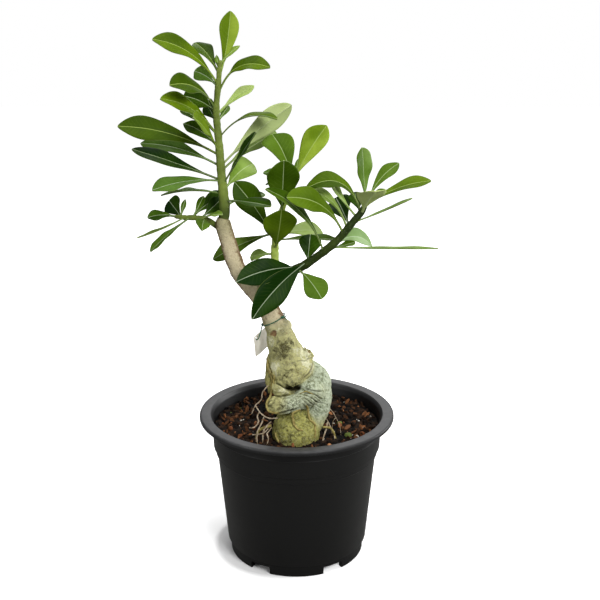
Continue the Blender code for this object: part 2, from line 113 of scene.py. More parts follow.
def softShade(piece):
    pickOnly(piece)
    bpy.ops.object.shade_smooth()


def roughen(piece, name, size, rise, depth=2, direction="NORMAL"):
    # cloudy unevenness of a given size and height, fixed to the piece's own place
    clouds = bpy.data.textures.new(name, "CLOUDS")
    clouds.noise_scale = size
    clouds.noise_depth = depth
    modify(piece, "DISPLACE", texture=clouds, strength=rise, mid_level=0.5, direction=direction,
           texture_coords="LOCAL")


def points(piece):
    found = np.empty(len(piece.data.vertices) * 3)
    piece.data.vertices.foreach_get("co", found)
    return found.reshape(-1, 3)


def normals(piece):
    found = np.empty(len(piece.data.vertices) * 3)
    piece.data.vertices.foreach_get("normal", found)
    return found.reshape(-1, 3)


def movePoints(piece, places):
    piece.data.vertices.foreach_set("co", np.asarray(places).ravel())
    piece.data.update()


def mark(piece, name, values):
    # a value or a vector on every point, which a material reads by name
    values = np.asarray(values, float)
    kind = "FLOAT_VECTOR" if values.ndim == 2 else "FLOAT"
    layer = piece.data.attributes.new(name, kind, "POINT")
    layer.data.foreach_set("vector" if values.ndim == 2 else "value", values.ravel())


def settle(piece, finishes, replaced=()):
    # millimetres to metres, materials on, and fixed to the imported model
    piece.scale = (mm, mm, mm)
    piece.location = potAxis
    fixTransform(piece)
    if not piece.data.materials:
        for finish in finishes:
            piece.data.materials.append(finish)
    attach(piece, "root")
    if replaced:
        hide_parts(*replaced)
    return piece


def smoothRoute(rows, step):
    # Catmull-Rom points about a step apart through given (x, y, z, radius) rows
    rows = [Vector(row) for row in rows]
    rows = [2 * rows[0] - rows[1]] + rows + [2 * rows[-1] - rows[-2]]
    route = []
    for a, b, c, d in zip(rows, rows[1:], rows[2:], rows[3:]):
        count = max(1, round((c.xyz - b.xyz).length / step))
        for i in range(count):
            t = i / count
            route.append(0.5 * (2 * b + (c - a) * t + (2 * a - 5 * b + 4 * c - d) * t ** 2
                                + (3 * b - a - 3 * c + d) * t ** 3))
    route.append(rows[-2])
    return route


def tube(name, route, roundness):
    # a round tube along a route, tapered by each point's radius, its ends closed
    line = bpy.data.curves.new(name, "CURVE")
    line.dimensions = "3D"
    line.bevel_depth = 1.0
    line.bevel_resolution = roundness
    line.use_fill_caps = True
    spline = line.splines.new("POLY")
    spline.points.add(len(route) - 1)
    for knot, row in zip(spline.points, route):
        knot.co = (*row.xyz, 1.0)
        knot.radius = row.w
    made = bpy.data.objects.new(name, line)
    bpy.context.collection.objects.link(made)
    pickOnly(made)
    bpy.ops.object.convert(target="MESH")
    made = bpy.context.object
    outwards(made)
    return made


class Wire:
    # one output socket of a node: sums written on it become Math nodes
    def __init__(self, finish, socket):
        self.finish, self.socket = finish, socket

    def maths(self, operation, first, second):
        return self.finish.node("ShaderNodeMath", {"operation": operation}, {0: first, 1: second})

    def __add__(self, other): return self.maths("ADD", self, other)
    def __radd__(self, other): return self.maths("ADD", other, self)
    def __sub__(self, other): return self.maths("SUBTRACT", self, other)
    def __rsub__(self, other): return self.maths("SUBTRACT", other, self)
    def __mul__(self, other): return self.maths("MULTIPLY", self, other)
    def __rmul__(self, other): return self.maths("MULTIPLY", other, self)
    def __truediv__(self, other): return self.maths("DIVIDE", self, other)
    def __rtruediv__(self, other): return self.maths("DIVIDE", other, self)
    def __pow__(self, other): return self.maths("POWER", self, other)


class Finish:
    # a material on one Principled shader, or the surround's own nodes
    def __init__(self, owner):
        self.owner = bpy.data.materials.new(owner) if isinstance(owner, str) else owner
        self.owner.use_nodes = True
        self.tree = self.owner.node_tree
        self.shader = self.tree.nodes.get("Principled BSDF")

    def feed(self, socket, value):
        if isinstance(value, Wire):
            self.tree.links.new(value.socket, socket)
        elif socket.type == "RGBA" and len(value) == 3:
            socket.default_value = (*value, 1.0)
        else:
            socket.default_value = value

    def node(self, kind, settings=None, sockets=None, out=0):
        made = self.tree.nodes.new(kind)
        for name, value in (settings or {}).items():
            if name == "stops":
                while len(made.color_ramp.elements) < len(value):
                    made.color_ramp.elements.new(0.5)
                for stop, (place, colour) in zip(made.color_ramp.elements, value):
                    stop.position, stop.color = place, (*colour, 1.0)
            else:
                setattr(made, name, value)
        for key, value in (sockets or {}).items():
            self.feed(made.inputs[key], value)
        return Wire(self, made.outputs[out])

    def place(self):
        # where a point is, in millimetres from the pot's axis
        spot = self.node("ShaderNodeTexCoord", out="Object")
        return self.node("ShaderNodeMapping", {"vector_type": "POINT"},
                         {"Vector": spot, "Scale": (1 / mm,) * 3, "Location": tuple(-potAxis / mm)})

    def stretched(self, spot, upwards):
        # a pattern on this place is drawn out along Z
        return self.node("ShaderNodeMapping", sockets={"Vector": spot, "Scale": (1.0, 1.0, upwards)})

    def layer(self, name, out="Vector"):
        settings = {"attribute_type": "GEOMETRY", "attribute_name": name}
        return self.node("ShaderNodeAttribute", settings, out=out)

    def split(self, vector):
        parts = self.node("ShaderNodeSeparateXYZ", sockets={0: vector})
        return [Wire(self, socket) for socket in parts.socket.node.outputs]

    def noise(self, spot, size, detail=2.0, rough=0.5, warp=0.0):
        return self.node("ShaderNodeTexNoise", {"noise_dimensions": "3D"},
                         {"Vector": spot, "Scale": 1 / size, "Detail": detail, "Roughness": rough,
                          "Distortion": warp})

    def cells(self, spot, size, feature="F1", spread=1.0):
        return self.node("ShaderNodeTexVoronoi", {"feature": feature},
                         {"Vector": spot, "Scale": 1 / size, "Randomness": spread})

    def fade(self, value, low, high, start=0.0, end=1.0):
        return self.node("ShaderNodeMapRange", {"interpolation_type": "SMOOTHSTEP"},
                         {"Value": value, "From Min": low, "From Max": high, "To Min": start, "To Max": end})

    def mix(self, share, first, second, blend="MIX"):
        return self.node("ShaderNodeMix", {"data_type": "RGBA", "blend_type": blend},
                         {"Factor": share, 6: first, 7: second}, out=2)

    def bump(self, height, distance, strength=1.0, under=None):
        sockets = {"Height": height, "Distance": distance * mm, "Strength": strength}
        if under is not None:
            sockets["Normal"] = under
        return self.node("ShaderNodeBump", sockets=sockets)

    def done(self, **sockets):
        # the shader's own sockets, by name with spaces left out
        names = {socket.name.replace(" ", ""): socket for socket in self.shader.inputs}
        for name, value in sockets.items():
            self.feed(names[name], value)
        return self.owner


# Pot: a ring of plastic drawn up from the underside, out over the rim and back down inside
pot = {
    "sides": 160,
    "rings": [                       # radius, height
        (49.4, 9.0), (49.4, 0.35), (49.75, 0.0), (52.9, 0.0), (53.3, 0.3), (53.6, 9.3), (54.3, 9.6),
        (55.3, 9.9), (55.6, 10.5), (59.1, 47.0), (62.6, 82.9), (63.0, 83.1), (63.5, 83.25), (63.75, 83.6),
        (63.7, 84.1),
        (63.95, 88.5), (64.2, 88.8), (65.15, 88.9), (65.55, 89.15), (65.55, 89.7),
        (66.1, 102.4), (66.35, 102.75), (66.15, 103.2), (66.6, 111.6),
        (67.2, 112.7), (68.4, 113.2), (74.0, 113.2), (74.5, 112.7), (74.7, 112.0), (75.2, 111.8),
        (75.75, 112.1), (76.0, 112.8), (75.95, 114.2), (75.6, 114.9), (75.0, 115.25), (74.2, 115.3),
        (68.2, 115.15),
        (67.5, 115.0), (67.1, 114.6), (66.7, 113.6), (65.9, 112.6), (65.3, 111.0), (64.2, 90.2), (63.7, 88.9),
        (62.4, 88.2), (61.4, 83.4), (54.4, 12.5), (53.0, 11.0),
    ],
    "notchTurns": (32, 90, 148, 212, 270, 328),      # degrees round from the front
    "notchWide": 9.3,                # half the gap between two feet, at the foot
    "notchNarrow": 8.5,              # and at its top
    "notchTop": 6.0,
    "notchCircle": 50.0,             # how far from the axis its middle lies
    "notchDeep": 22.0,
    "notchCorner": 1.1,
    "drainTurns": (30, 90, 150, 210, 270, 330),
    "drainRadius": 4.0,
    "drainCircle": 36.0,
    "plastic": (0.0085, 0.0085, 0.009),
    "dust": (0.06, 0.06, 0.062),     # dust on the lip, and a painted highlight line along each moulded edge
    # the pot's inside below the rim, painted near black: painted shade
    "inside": (0.002, 0.002, 0.002),
}


def addDisc(name, radius, height, sides):
    bpy.ops.mesh.primitive_circle_add(vertices=sides, radius=radius, fill_type="NGON",
                                      location=(0, 0, height))
    piece = bpy.context.object
    piece.name = name
    return piece


def pullThrough(rings):
    # what is selected lies on the first ring, and is drawn on through the others in turn
    for (radius, height), (nextRadius, nextHeight) in zip(rings, rings[1:]):
        rise = {"value": (0, 0, nextHeight - height)}
        bpy.ops.mesh.extrude_region_move(TRANSFORM_OT_translate=rise)
        share = nextRadius / radius
        bpy.ops.transform.resize(value=(share, share, 1.0), center_override=(0, 0, nextHeight))


def drawRings(name, rings, sides):
    # the cap of a disc is pulled through every ring, so the shape stays closed
    piece = addDisc(name, *rings[0], sides)
    openMesh(piece, "SELECT")
    pullThrough(rings)
    closeMesh()
    fixTransform(piece)
    outwards(piece)
    return piece


def copyOf(model):
    copy = model.copy()
    copy.data = model.data.copy()
    bpy.context.collection.objects.link(copy)
    return copy


def makeCutters(model, turns):
    # one cutter copied round the pot's axis and joined
    parts = []
    for turn in turns:
        copy = copyOf(model)
        copy.rotation_euler.z = math.radians(turn - 90)
        fixTransform(copy)
        parts.append(copy)
    bpy.data.objects.remove(model)
    return joinAll(parts, "cutter")


def cutAway(piece, cutter):
    modify(piece, "BOOLEAN", operation="DIFFERENCE", solver="EXACT", object=cutter)
    bpy.data.objects.remove(cutter)


def makePot():
    body = drawRings("nurseryPot", pot["rings"], pot["sides"])
    bpy.ops.mesh.primitive_cube_add(size=1.0, location=(0, 0, 0))
    notch = bpy.context.object
    notch.data.transform(Matrix.Translation((pot["notchCircle"], 0, pot["notchTop"] / 2 - 1))
                         @ Matrix.Diagonal((pot["notchDeep"], 2 * pot["notchWide"], pot["notchTop"] + 2, 1)))
    pickFaces(notch, lambda centre, normal: normal.z > 0.9)
    bpy.ops.object.mode_set(mode="EDIT")
    bpy.ops.transform.resize(value=(1.0, pot["notchNarrow"] / pot["notchWide"], 1.0))
    bpy.ops.mesh.select_mode(type="EDGE")
    closeMesh()
    for edge in notch.data.edges:    # the two top edges that run outwards are rounded
        a, b = (notch.data.vertices[i].co for i in edge.vertices)
        edge.select = abs(a.x - b.x) > 1 and a.z > 1
    bpy.ops.object.mode_set(mode="EDIT")
    bpy.ops.mesh.bevel(offset=pot["notchCorner"], segments=5)
    closeMesh()
    cutAway(body, makeCutters(notch, pot["notchTurns"]))
    bpy.ops.mesh.primitive_cylinder_add(vertices=28, radius=pot["drainRadius"], depth=8,
                                        location=(pot["drainCircle"], 0, 10))
    drain = bpy.context.object
    fixTransform(drain)
    cutAway(body, makeCutters(drain, pot["drainTurns"]))
    smooth(body, 28)
    return body


def plasticFinish():
    finish = Finish("potPlastic")
    spot = finish.place()
    grain = finish.noise(spot, 0.5, 2.0)
    scuff = finish.noise(spot, 14.0, 4.0, 0.6)
    rub = finish.noise(finish.stretched(spot, 0.12), 5.0, 3.0)
    x, y, z = finish.split(spot)
    lip = finish.fade(z, 113.0, 115.2)
    edges = 0.0
    for height in (10.3, 83.4, 89.2, 102.8):     # each moulded edge gets a thin painted highlight line
        edges = edges + finish.fade((z - height) * (z - height), 0.16, 0.02)
    worn = 0.5 + finish.fade(rub, 0.35, 0.8) * 0.35
    # dust on the scuffs and the lip, and painted highlight on the moulded edges
    dust = finish.fade(scuff, 0.45, 0.75) * 0.08 + lip * worn + edges * 0.35
    colour = finish.mix(dust, pot["plastic"], pot["dust"])
    # below the rim the inside of the pot is painted near black: painted shade inside the pot
    inside = finish.fade(x * x + y * y, 70.5 ** 2, 70.0 ** 2) * finish.fade(z, 112.6, 111.6)
    colour = finish.mix(inside, colour, pot["inside"])
    sheen = 0.40 + 0.05 * scuff + 0.04 * rub
    return finish.done(BaseColor=colour, Roughness=sheen, SpecularIORLevel=0.35,
                       Normal=finish.bump(grain, 0.05, 0.3))


# Soil: a closed bed that fills the pot, with crumbs, pellets and chips lying on it
soil = {
    "radius": 64.0,
    "height": 105.0,
    "sides": 150,
    "insets": 58,
    "insetStep": 1.1,
    "lumps": ((14.0, 3.0), (4.6, 2.8), (1.7, 1.3)),    # size and height of the unevenness
    "foot": ((63.0, 88.0), (60.5, 83.0), (53.8, 14.0), (52.5, 12.0)),
    "bulbSpace": (-0.5, -25.0, 17.2, 19.0),           # centre and half sizes of the bulb at the surface
    "splinter": (1.0, 0.42, 0.2),    # length, width and thickness of a bark chip
    "darkness": 2.6,                 # the higher, the fewer loose pieces are pale
    "darkColour": (0.008, 0.0055, 0.0035),
    "brownColour": (0.040, 0.019, 0.009),
    "speckColour": (0.16, 0.065, 0.026),
    # painted shade in the bed's hollows
    "hollowColour": (0.0012, 0.0009, 0.0007),
}


def makeSoilBed():
    radius, height = soil["radius"], soil["height"]
    bed = addDisc("pottingMix", radius, height, soil["sides"])
    openMesh(bed, "SELECT")
    for _ in range(soil["insets"]):
        bpy.ops.mesh.inset(thickness=soil["insetStep"], depth=0)
    closeMesh()
    fixTransform(bed)
    for i, (size, rise) in enumerate(soil["lumps"]):
        roughen(bed, f"lumps{i}", size, rise, direction="Z")
    heights = points(bed)[:, 2] - height
    low, high = np.percentile(heights, (2, 98))
    mark(bed, "risen", np.clip((heights - low) / (high - low), 0, 1))
    openMesh(bed, "SELECT")
    bpy.ops.mesh.select_mode(type="EDGE")
    bpy.ops.mesh.region_to_loop()
    pullThrough([(radius, height), *soil["foot"]])
    bpy.ops.mesh.edge_face_add()
    closeMesh()
    outwards(bed)
    smooth(bed, 60)
    return bed


# Loose pieces: how many of each, their sizes, and listed spots of x, y and size
loosePieces = {
    "crumbs": {"kind": "crumb", "count": 440, "sizes": (0.5, 2.3), "spots": (), "sink": 0.4, "flat": 0.8,
               "seed": 2, "dark": (0.0025, 0.0018, 0.0013), "light": (0.10, 0.042, 0.017), "rough": 0.75},
    "barkChips": {"kind": "chip", "count": 250, "sizes": (0.9, 3.6), "spots": (), "sink": 0.25, "flat": 1.0,
                  "seed": 3, "dark": (0.008, 0.004, 0.002), "light": (0.34, 0.14, 0.055), "rough": 0.7},
    "clayPellets": {"kind": "pellet", "count": 22, "sizes": (0.7, 1.5),
                    "spots": ((-43, -27, 2.1), (-51, -15, 1.7), (50, -26, 2.0), (58, -25, 1.8),
                              (24.5, -43, 1.9), (28, -47, 1.6)),
                    "sink": 0.15, "flat": 0.95, "seed": 4, "dark": (0.13, 0.04, 0.013),
                    "light": (0.42, 0.19, 0.08), "rough": 0.6},
    "perlite": {"kind": "perlite", "count": 60, "sizes": (0.35, 0.8),
                "spots": ((30.5, -45, 1.3), (46, -28, 1.2), (-44, 2, 1.0)), "sink": 0.2, "flat": 0.9,
                "seed": 5, "dark": (0.50, 0.47, 0.40), "light": (0.82, 0.80, 0.74), "rough": 0.7},
    "greenBits": {"kind": "crumb", "count": 9, "sizes": (0.6, 1.3), "spots": ((39.5, -25, 3.0), (34, 0, 1.8)),
                  "sink": 0.3, "flat": 0.8, "seed": 6, "dark": (0.05, 0.07, 0.012),
                  "light": (0.20, 0.25, 0.06), "rough": 0.6},
}
chipShapes = {                       # size and height of each sort's unevenness
    "crumb": (0.7, 0.9), "pellet": (1.6, 0.35), "perlite": (0.45, 0.7), "chip": (0.5, 0.3),
}


def chipModel(kind):
    # one small piece of each sort, a few dozen faces
    if kind == "chip":               # a flat splinter of bark, tapered to both ends
        bpy.ops.mesh.primitive_cube_add(size=2.0)
        chip = bpy.context.object
        openMesh(chip, "SELECT")
        bpy.ops.mesh.subdivide(number_cuts=2)
        bpy.ops.transform.resize(value=soil["splinter"])
        closeMesh()
        places = points(chip)
        places[:, 1:] *= (1.0 - 0.5 * np.abs(places[:, :1]) ** 2)
        movePoints(chip, places)
    else:
        bpy.ops.mesh.primitive_ico_sphere_add(subdivisions=2, radius=1.0)
        chip = bpy.context.object
    roughen(chip, kind + "Shape", *chipShapes[kind])
    fixTransform(chip)
    return chip


def scatter(name, ground):
    # copies of one chip, turned at random and let down onto the soil
    loose = loosePieces[name]
    dice = random.Random(loose["seed"])
    model = chipModel(loose["kind"])
    rows = list(loose["spots"])
    cx, cy, wide, deep = soil["bulbSpace"]
    while len(rows) < loose["count"] + len(loose["spots"]):
        away, turn = soil["radius"] * math.sqrt(dice.random()) * 0.985, dice.uniform(0, 2 * math.pi)
        x, y = away * math.cos(turn), away * math.sin(turn)
        if ((x - cx) / wide) ** 2 + ((y - cy) / deep) ** 2 > 0.92:
            rows.append((x, y, dice.uniform(*loose["sizes"])))
    parts = []
    for x, y, size in rows:
        hit = ground.ray_cast(Vector((x, y, 150)), Vector((0, 0, -1)))[0]
        if hit is None:
            continue
        copy = copyOf(model)
        spread = [size * dice.uniform(0.8, 1.2) for _ in range(3)]
        copy.data.transform(Matrix.Translation((x, y, hit.z + size * (0.55 - loose["sink"])))
                            @ Matrix.Diagonal((1, 1, loose["flat"], 1))
                            @ Euler([dice.uniform(0, 6.3) for _ in range(3)]).to_matrix().to_4x4()
                            @ Matrix.Diagonal((*spread, 1)))
        mark(copy, "tint", np.full(len(copy.data.vertices), dice.random() ** soil["darkness"]))
        parts.append(copy)
    bpy.data.objects.remove(model)
    joined = joinAll(parts, name)
    smooth(joined, 60 if loose["kind"] in ("pellet", "crumb") else 25)
    return joined


def mixFinish():
    finish = Finish("pottingMix")
    spot = finish.place()
    broad = finish.noise(spot, 7.0, 3.0, 0.6)
    fine = finish.noise(spot, 0.9, 3.0, 0.7)
    fleck = finish.cells(spot, 1.6)
    risen = finish.layer("risen", "Fac")
    colour = finish.mix(finish.fade(broad, 0.42, 0.7), soil["darkColour"], soil["brownColour"])
    colour = finish.mix(finish.fade(fine, 0.60, 0.76) * 0.6, colour, soil["speckColour"])
    # the low places of the bed are darkened: painted shade in the hollows
    colour = finish.mix(finish.fade(risen, 0.55, 0.30), colour, soil["hollowColour"])
    rough = 0.8 + 0.2 * fine
    height = fine * 0.6 + fleck * 0.5
    return finish.done(BaseColor=colour, Roughness=rough, SpecularIORLevel=0.12,
                       Normal=finish.bump(height, 0.5, 0.9))


def chipFinish(name):
    # each loose piece has its own tint between dark and light
    loose = loosePieces[name]
    finish = Finish(name)
    spot = finish.place()
    tint = finish.layer("tint", "Fac")
    grain = finish.noise(spot, 0.5, 3.0, 0.65)
    colour = finish.mix(finish.fade(tint * 0.75 + grain * 0.35, 0.1, 0.95), loose["dark"], loose["light"])
    return finish.done(BaseColor=colour, Roughness=loose["rough"] + 0.15 * grain, SpecularIORLevel=0.12,
                       Normal=finish.bump(grain, 0.25, 0.7))


# Caudex: swellings and limbs grown together, then its folds and creases pressed in
caudex = {
    "swellings": {                   # centre, half sizes
        "bulb": ((-0.5, -25.0, 108.0), (18.2, 20.0, 21.0)),
        "drop": ((-4.5, -15.0, 156.5), (17.4, 15.5, 12.5)),
        "dropTip": ((-3.7, -21.5, 153.2), (10.5, 12.0, 7.2)),
        "lobe": ((-11.8, -26.6, 144.9), (7.3, 7.4, 5.6)),
        "core": ((-1.0, -15.5, 135.0), (14.5, 10.5, 17.0)),
        "elbow": ((8.6, -19.0, 140.0), (11.2, 12.0, 10.4)),
        "shelf": ((6.0, -11.5, 164.8), (6.8, 7.5, 5.6)),
        "knob": ((-9.2, -10.5, 188.0), (5.6, 6.5, 5.6)),
    },
    "limbs": {                       # x, y, z, radius
        "neck": [(-5, -13, 160, 15.0), (-9.3, -11, 170.6, 12.4), (-11.7, -10, 178, 11.2),
                 (-13.6, -9, 185, 9.6), (-16.6, -8, 191, 8.6), (-20.3, -6, 199, 7.8), (-27, -5, 208.5, 7.0)],
        "leftLimb": [(-20.5, -6, 199, 7.4), (-27, -5, 208.5, 7.0), (-36, -3, 219, 6.7), (-43, -2, 228, 6.5),
                     (-47.5, -1, 239, 6.3), (-51, 1, 251, 6.1), (-54.5, 2, 263.5, 5.9), (-54, 2.6, 268, 4.9)],
        "rightLimb": [(-24, -5.5, 206, 6.6), (-19, -6, 213.5, 5.6), (-13.4, -8, 221, 5.0),
                      (-6.5, -9.6, 228.5, 4.7), (-4.5, -10, 230.5, 4.2)],
        "shoulder": [(2, -10, 157, 6.5), (10, -10, 152.5, 8.4), (15.6, -11.5, 146, 9.8), (17, -14, 138, 9.8),
                     (16.6, -17.5, 129, 9.8), (13, -21, 119, 9.6), (8, -24, 110, 9.5)],
        "arm": [(15, -19, 139, 8.6), (8, -28, 136.8, 6.8), (-2, -33.8, 135.2, 5.9), (-10, -35.0, 134.0, 6.1),
                (-16.4, -33, 133.8, 6.1)],
        "leftRoot": [(-19.5, -12, 166, 2.6), (-20.4, -15, 157, 3.2), (-20.2, -19, 148, 3.6),
                     (-18.0, -24, 140, 3.6)],
    },
    "voxel": 0.53,
    "soften": 4,
    "creases": [                     # depth, half width, route
        # the drop's lower edge, the hollow under it, and the seams round the small lobe
        (3.0, 1.0, [(-17.5, -26, 151), (-14.5, -30, 150.6), (-11, -32, 149.6), (-6.8, -33, 147.3),
                    (-3.5, -33.5, 146), (0.5, -33, 147), (4, -32, 149), (7, -30, 151)]),
        (1.9, 0.9, [(4, -32, 149), (8, -30, 151.5), (11, -27, 155), (13, -22, 158.5), (13.5, -17, 161),
                    (13, -11, 162.5), (10, -5, 163)]),
        (4.5, 1.9, [(-10, -31, 147.5), (-7, -29, 145.5), (-4.5, -26, 143), (-1.5, -26, 144.5),
                    (1.5, -28, 146.5)]),
        (2.8, 1.0, [(-20, -27, 140.5), (-16.5, -30, 139.5), (-12, -34, 140), (-7, -35, 141), (-4, -33, 143)]),
        (2.4, 1.1, [(-21, -34, 130), (-18, -38, 128), (-14, -40, 127.5), (-9, -41, 129), (-4, -41, 131),
                    (3, -39, 132)]),
        # fine lines over the drop and round the neck
        (0.9, 0.5, [(-2, -27, 166), (3, -26, 166.5), (8, -21, 165.5), (12, -12, 164)]),
        (0.5, 0.45, [(-16, -24, 163), (-10, -30, 160.5), (-4, -31, 160), (2, -29, 162)]),
        (0.45, 0.45, [(-12, -29, 157), (-7, -31, 155), (-1, -31, 155.5), (5, -28, 158)]),
        (0.4, 0.4, [(-1, -31, 152.5), (3, -30.5, 154), (7, -27.5, 157), (9.5, -24, 161)]),
        (0.25, 0.4, [(-22, -15, 181), (-13, -22, 180.5), (-6, -19, 183), (-2, -14, 187)]),
        (0.4, 0.4, [(-20, -18, 172), (-13, -23, 170.5), (-5, -22, 171.5), (1, -17, 173)]),
        (1.0, 0.6, [(-22, -13, 163), (-20, -22, 158), (-18, -27, 152), (-16, -30, 147.5)]),
        (1.1, 0.6, [(-20, -25, 151), (-18.5, -29, 146), (-17, -31, 142)]),
        (0.5, 0.5, [(12.5, -25, 152), (14.5, -25, 147), (17, -22, 142)]),
        (0.4, 0.5, [(15.5, -20, 153), (18.5, -19, 147), (20.5, -17, 141)]),
    ],
    "folds": {                       # the fan where the arm leaves the shoulder
        "count": 7,
        "deep": (1.3, 0.6),          # depth and half width of the folds, and of the finer ones between them
        "fine": (0.65, 0.42),
        "begin": ((4.5, -31.5, 148.5), (2, -34.5, 143), (3.5, -37, 136)),
        "middle": ((10, -29, 144), (9, -33, 136.5), (7.5, -37, 130)),
        "end": ((20, -20, 137), (19, -25, 127.5), (12, -33, 120)),
    },
    "lip": 0.26,                     # how far a crease's sides stand up, as a share of its depth
    "scarRim": 0.45,
    "scarDish": 0.4,
    "pressed": (-4.5, 1.5),          # the furthest that creases and scars may move the skin in and out
    "scars": [(-17, -18, 185, 2.5), (-19.5, -17, 184, 1.5), (-7, -18, 185.5, 0.8), (9, -14, 168.5, 1.4),
              (-24, -12, 203, 2.2), (1, -30, 158, 0.5), (-7, -28, 166, 0.5)],   # x, y, z, radius
    "stains": {                      # x, y, z, radius and strength of each patch of colour
        "dark": [(-9, -22, 175, 6.5, 1.0), (-15, -21, 172.5, 4.5, 0.8), (-4, -20, 178, 4.5, 0.75),
                 (-10, -25, 169, 5, 0.85), (-9, -31, 156, 5.5, 0.6), (-16, -19, 182, 3.5, 0.4),
                 (-19, -26, 150, 3.5, 0.9), (0, -29, 163, 3.5, 0.5), (-5, -31, 160, 4.5, 0.5),
                 (-2, -31, 150, 5, 0.5), (-19, -34, 134, 6, 0.9), (-11, -39, 135, 5, 0.6),
                 (-4, -37, 131, 5, 0.5), (6, -31, 150, 4.5, 0.6), (-14, -40, 106, 8, 0.8),
                 (10, -42, 104, 7, 0.4), (-4, -45, 113, 9, 0.45),
                 # the last two darken the deep hollow under the drop: painted shade
                 (-5.5, -25, 144.5, 3.5, 1.4), (-1.5, -25, 144.5, 3, 1.4)],
        "pale": [(-19, -17, 178, 4, 0.8), (7, -18, 170, 5, 1.0), (8, -22, 164, 5.5, 0.8),
                 (-17, -25, 161, 4.5, 0.85), (-1, -21, 173, 3, 0.6), (8, -40, 112, 6, 0.4),
                 (11, -20, 159, 3.5, 0.7), (-9.5, -33.5, 145, 4.5, 0.5), (-13, -18, 187, 2, 0.5)],
        # the cool patches are painted shade on the shoulder's wrinkled zone
        "cool": [(11, -26, 152, 4.5, 0.8), (8, -30, 148, 4.5, 0.8), (5, -35, 142, 4.5, 0.5),
                 (9, -34, 133, 5, 0.35)],
        "cracked": [(-7.5, -40, 136.5, 4, 0.8), (-2.5, -40, 138, 5, 1.0), (1.5, -38, 139, 4, 0.9)],
    },
    "stubs": [                       # cut-off root and shoot ends
        [(9.6, -10, 161, 0.9), (10.6, -12.6, 165, 0.9), (10.4, -13, 168.4, 0.8), (9.8, -13, 171.0, 0.45)],
        [(6.5, -12, 164, 0.6), (7.3, -13, 169.6, 0.5), (5.6, -13, 173.4, 0.35)],
        [(-19, -11, 212, 2.6), (-15.5, -12.5, 213.5, 2.1), (-12.5, -13.5, 214, 1.6)],
    ],
    "roughness": ((9.0, 1.1), (3.2, 0.75), (1.3, 0.38)),        # size and height of the skin's unevenness
    "colours": {
        "trunk": (0.58, 0.56, 0.25), "trunkDark": (0.105, 0.093, 0.018), "neck": (0.56, 0.51, 0.33),
        "pale": (0.82, 0.81, 0.55), "bulb": (0.42, 0.41, 0.115), "bulbDark": (0.15, 0.14, 0.022),
        "bulbFoot": (0.10, 0.085, 0.018), "grey": (0.57, 0.63, 0.47), "greyDark": (0.27, 0.32, 0.20),
        # limbSide and limbFront are painted shade and painted light, by which way the limb faces
        "greyShade": (0.15, 0.175, 0.095), "limbSide": (0.20, 0.12, 0.055),
        "limbFront": (0.60, 0.52, 0.34), "limbFleck": (0.30, 0.20, 0.10),
        "limbTop": (0.20, 0.20, 0.08), "root": (0.26, 0.235, 0.055), "stain": (0.042, 0.035, 0.006),
        "dot": (0.055, 0.045, 0.014), "cord": (0.66, 0.65, 0.33), "fleck": (0.72, 0.70, 0.34),
        # crease is painted shade in and beside the creases
        "streak": (0.66, 0.63, 0.30), "crazing": (0.045, 0.05, 0.026), "crease": (0.022, 0.019, 0.006),
        "scar": (0.22, 0.095, 0.04),
    },
}


def growCaudex():
    parts = []
    for centre, sizes in caudex["swellings"].values():
        bpy.ops.mesh.primitive_uv_sphere_add(segments=48, ring_count=28, radius=1.0, location=centre)
        swelling = bpy.context.object
        swelling.scale = sizes
        fixTransform(swelling)
        parts.append(swelling)
    for rows in caudex["limbs"].values():
        parts.append(tube("limb", smoothRoute(rows, 1.5), 7))
    for name, end in (("arm", -1), ("shoulder", 0)):
        x, y, z, radius = caudex["limbs"][name][end]
        bpy.ops.mesh.primitive_uv_sphere_add(segments=32, ring_count=20, radius=radius, location=(x, y, z))
        fixTransform(bpy.context.object)
        parts.append(bpy.context.object)
    for rows in caudex["stubs"]:
        parts.append(tube("stub", smoothRoute(rows, 0.6), 4))
    body = joinAll(parts, "caudexTrunk")
    modify(body, "REMESH", mode="VOXEL", voxel_size=caudex["voxel"], use_smooth_shade=True)
    modify(body, "SMOOTH", factor=0.5, iterations=caudex["soften"])
    return body


def distanceTo(places, route):
    # how far each place is from a route, and where along it, as a share of its length
    starts = np.array([row.xyz for row in route[:-1]])
    ends = np.array([row.xyz for row in route[1:]])
    runs = ends - starts
    lengths = np.linalg.norm(runs, axis=1)
    done = np.concatenate(([0.0], np.cumsum(lengths)))
    nearest = np.full(len(places), 1e9)
    share = np.zeros(len(places))
    for start, run, length, before in zip(starts, runs, lengths, done):
        t = np.clip((places - start) @ run / max(length ** 2, 1e-9), 0, 1)
        away = np.linalg.norm(places - (start + t[:, None] * run), axis=1)
        closer = away < nearest
        nearest[closer] = away[closer]
        share[closer] = (before + t[closer] * length) / done[-1]
    return nearest, share


def onSkin(tree, rows, lift=0.0, calm=0):
    # a given route let down onto the skin, its points about 0.8 mm apart; calm evens out its turns
    laid = []
    for row in smoothRoute([(*row[:3], row[3] if len(row) > 3 else 1.0) for row in rows], 0.8):
        spot, facing = tree.find_nearest(row.xyz)[:2]
        laid.append(Vector((*(spot + facing * lift * row.w), row.w)))
    for _ in range(calm):
        laid = [laid[0]] + [(a + 2 * b + c) / 4 for a, b, c in zip(laid, laid[1:], laid[2:])] + [laid[-1]]
    return laid


def skinTree(piece):
    corners = [vertex.co for vertex in piece.data.vertices]
    return BVHTree.FromPolygons(corners, [list(face.vertices) for face in piece.data.polygons])


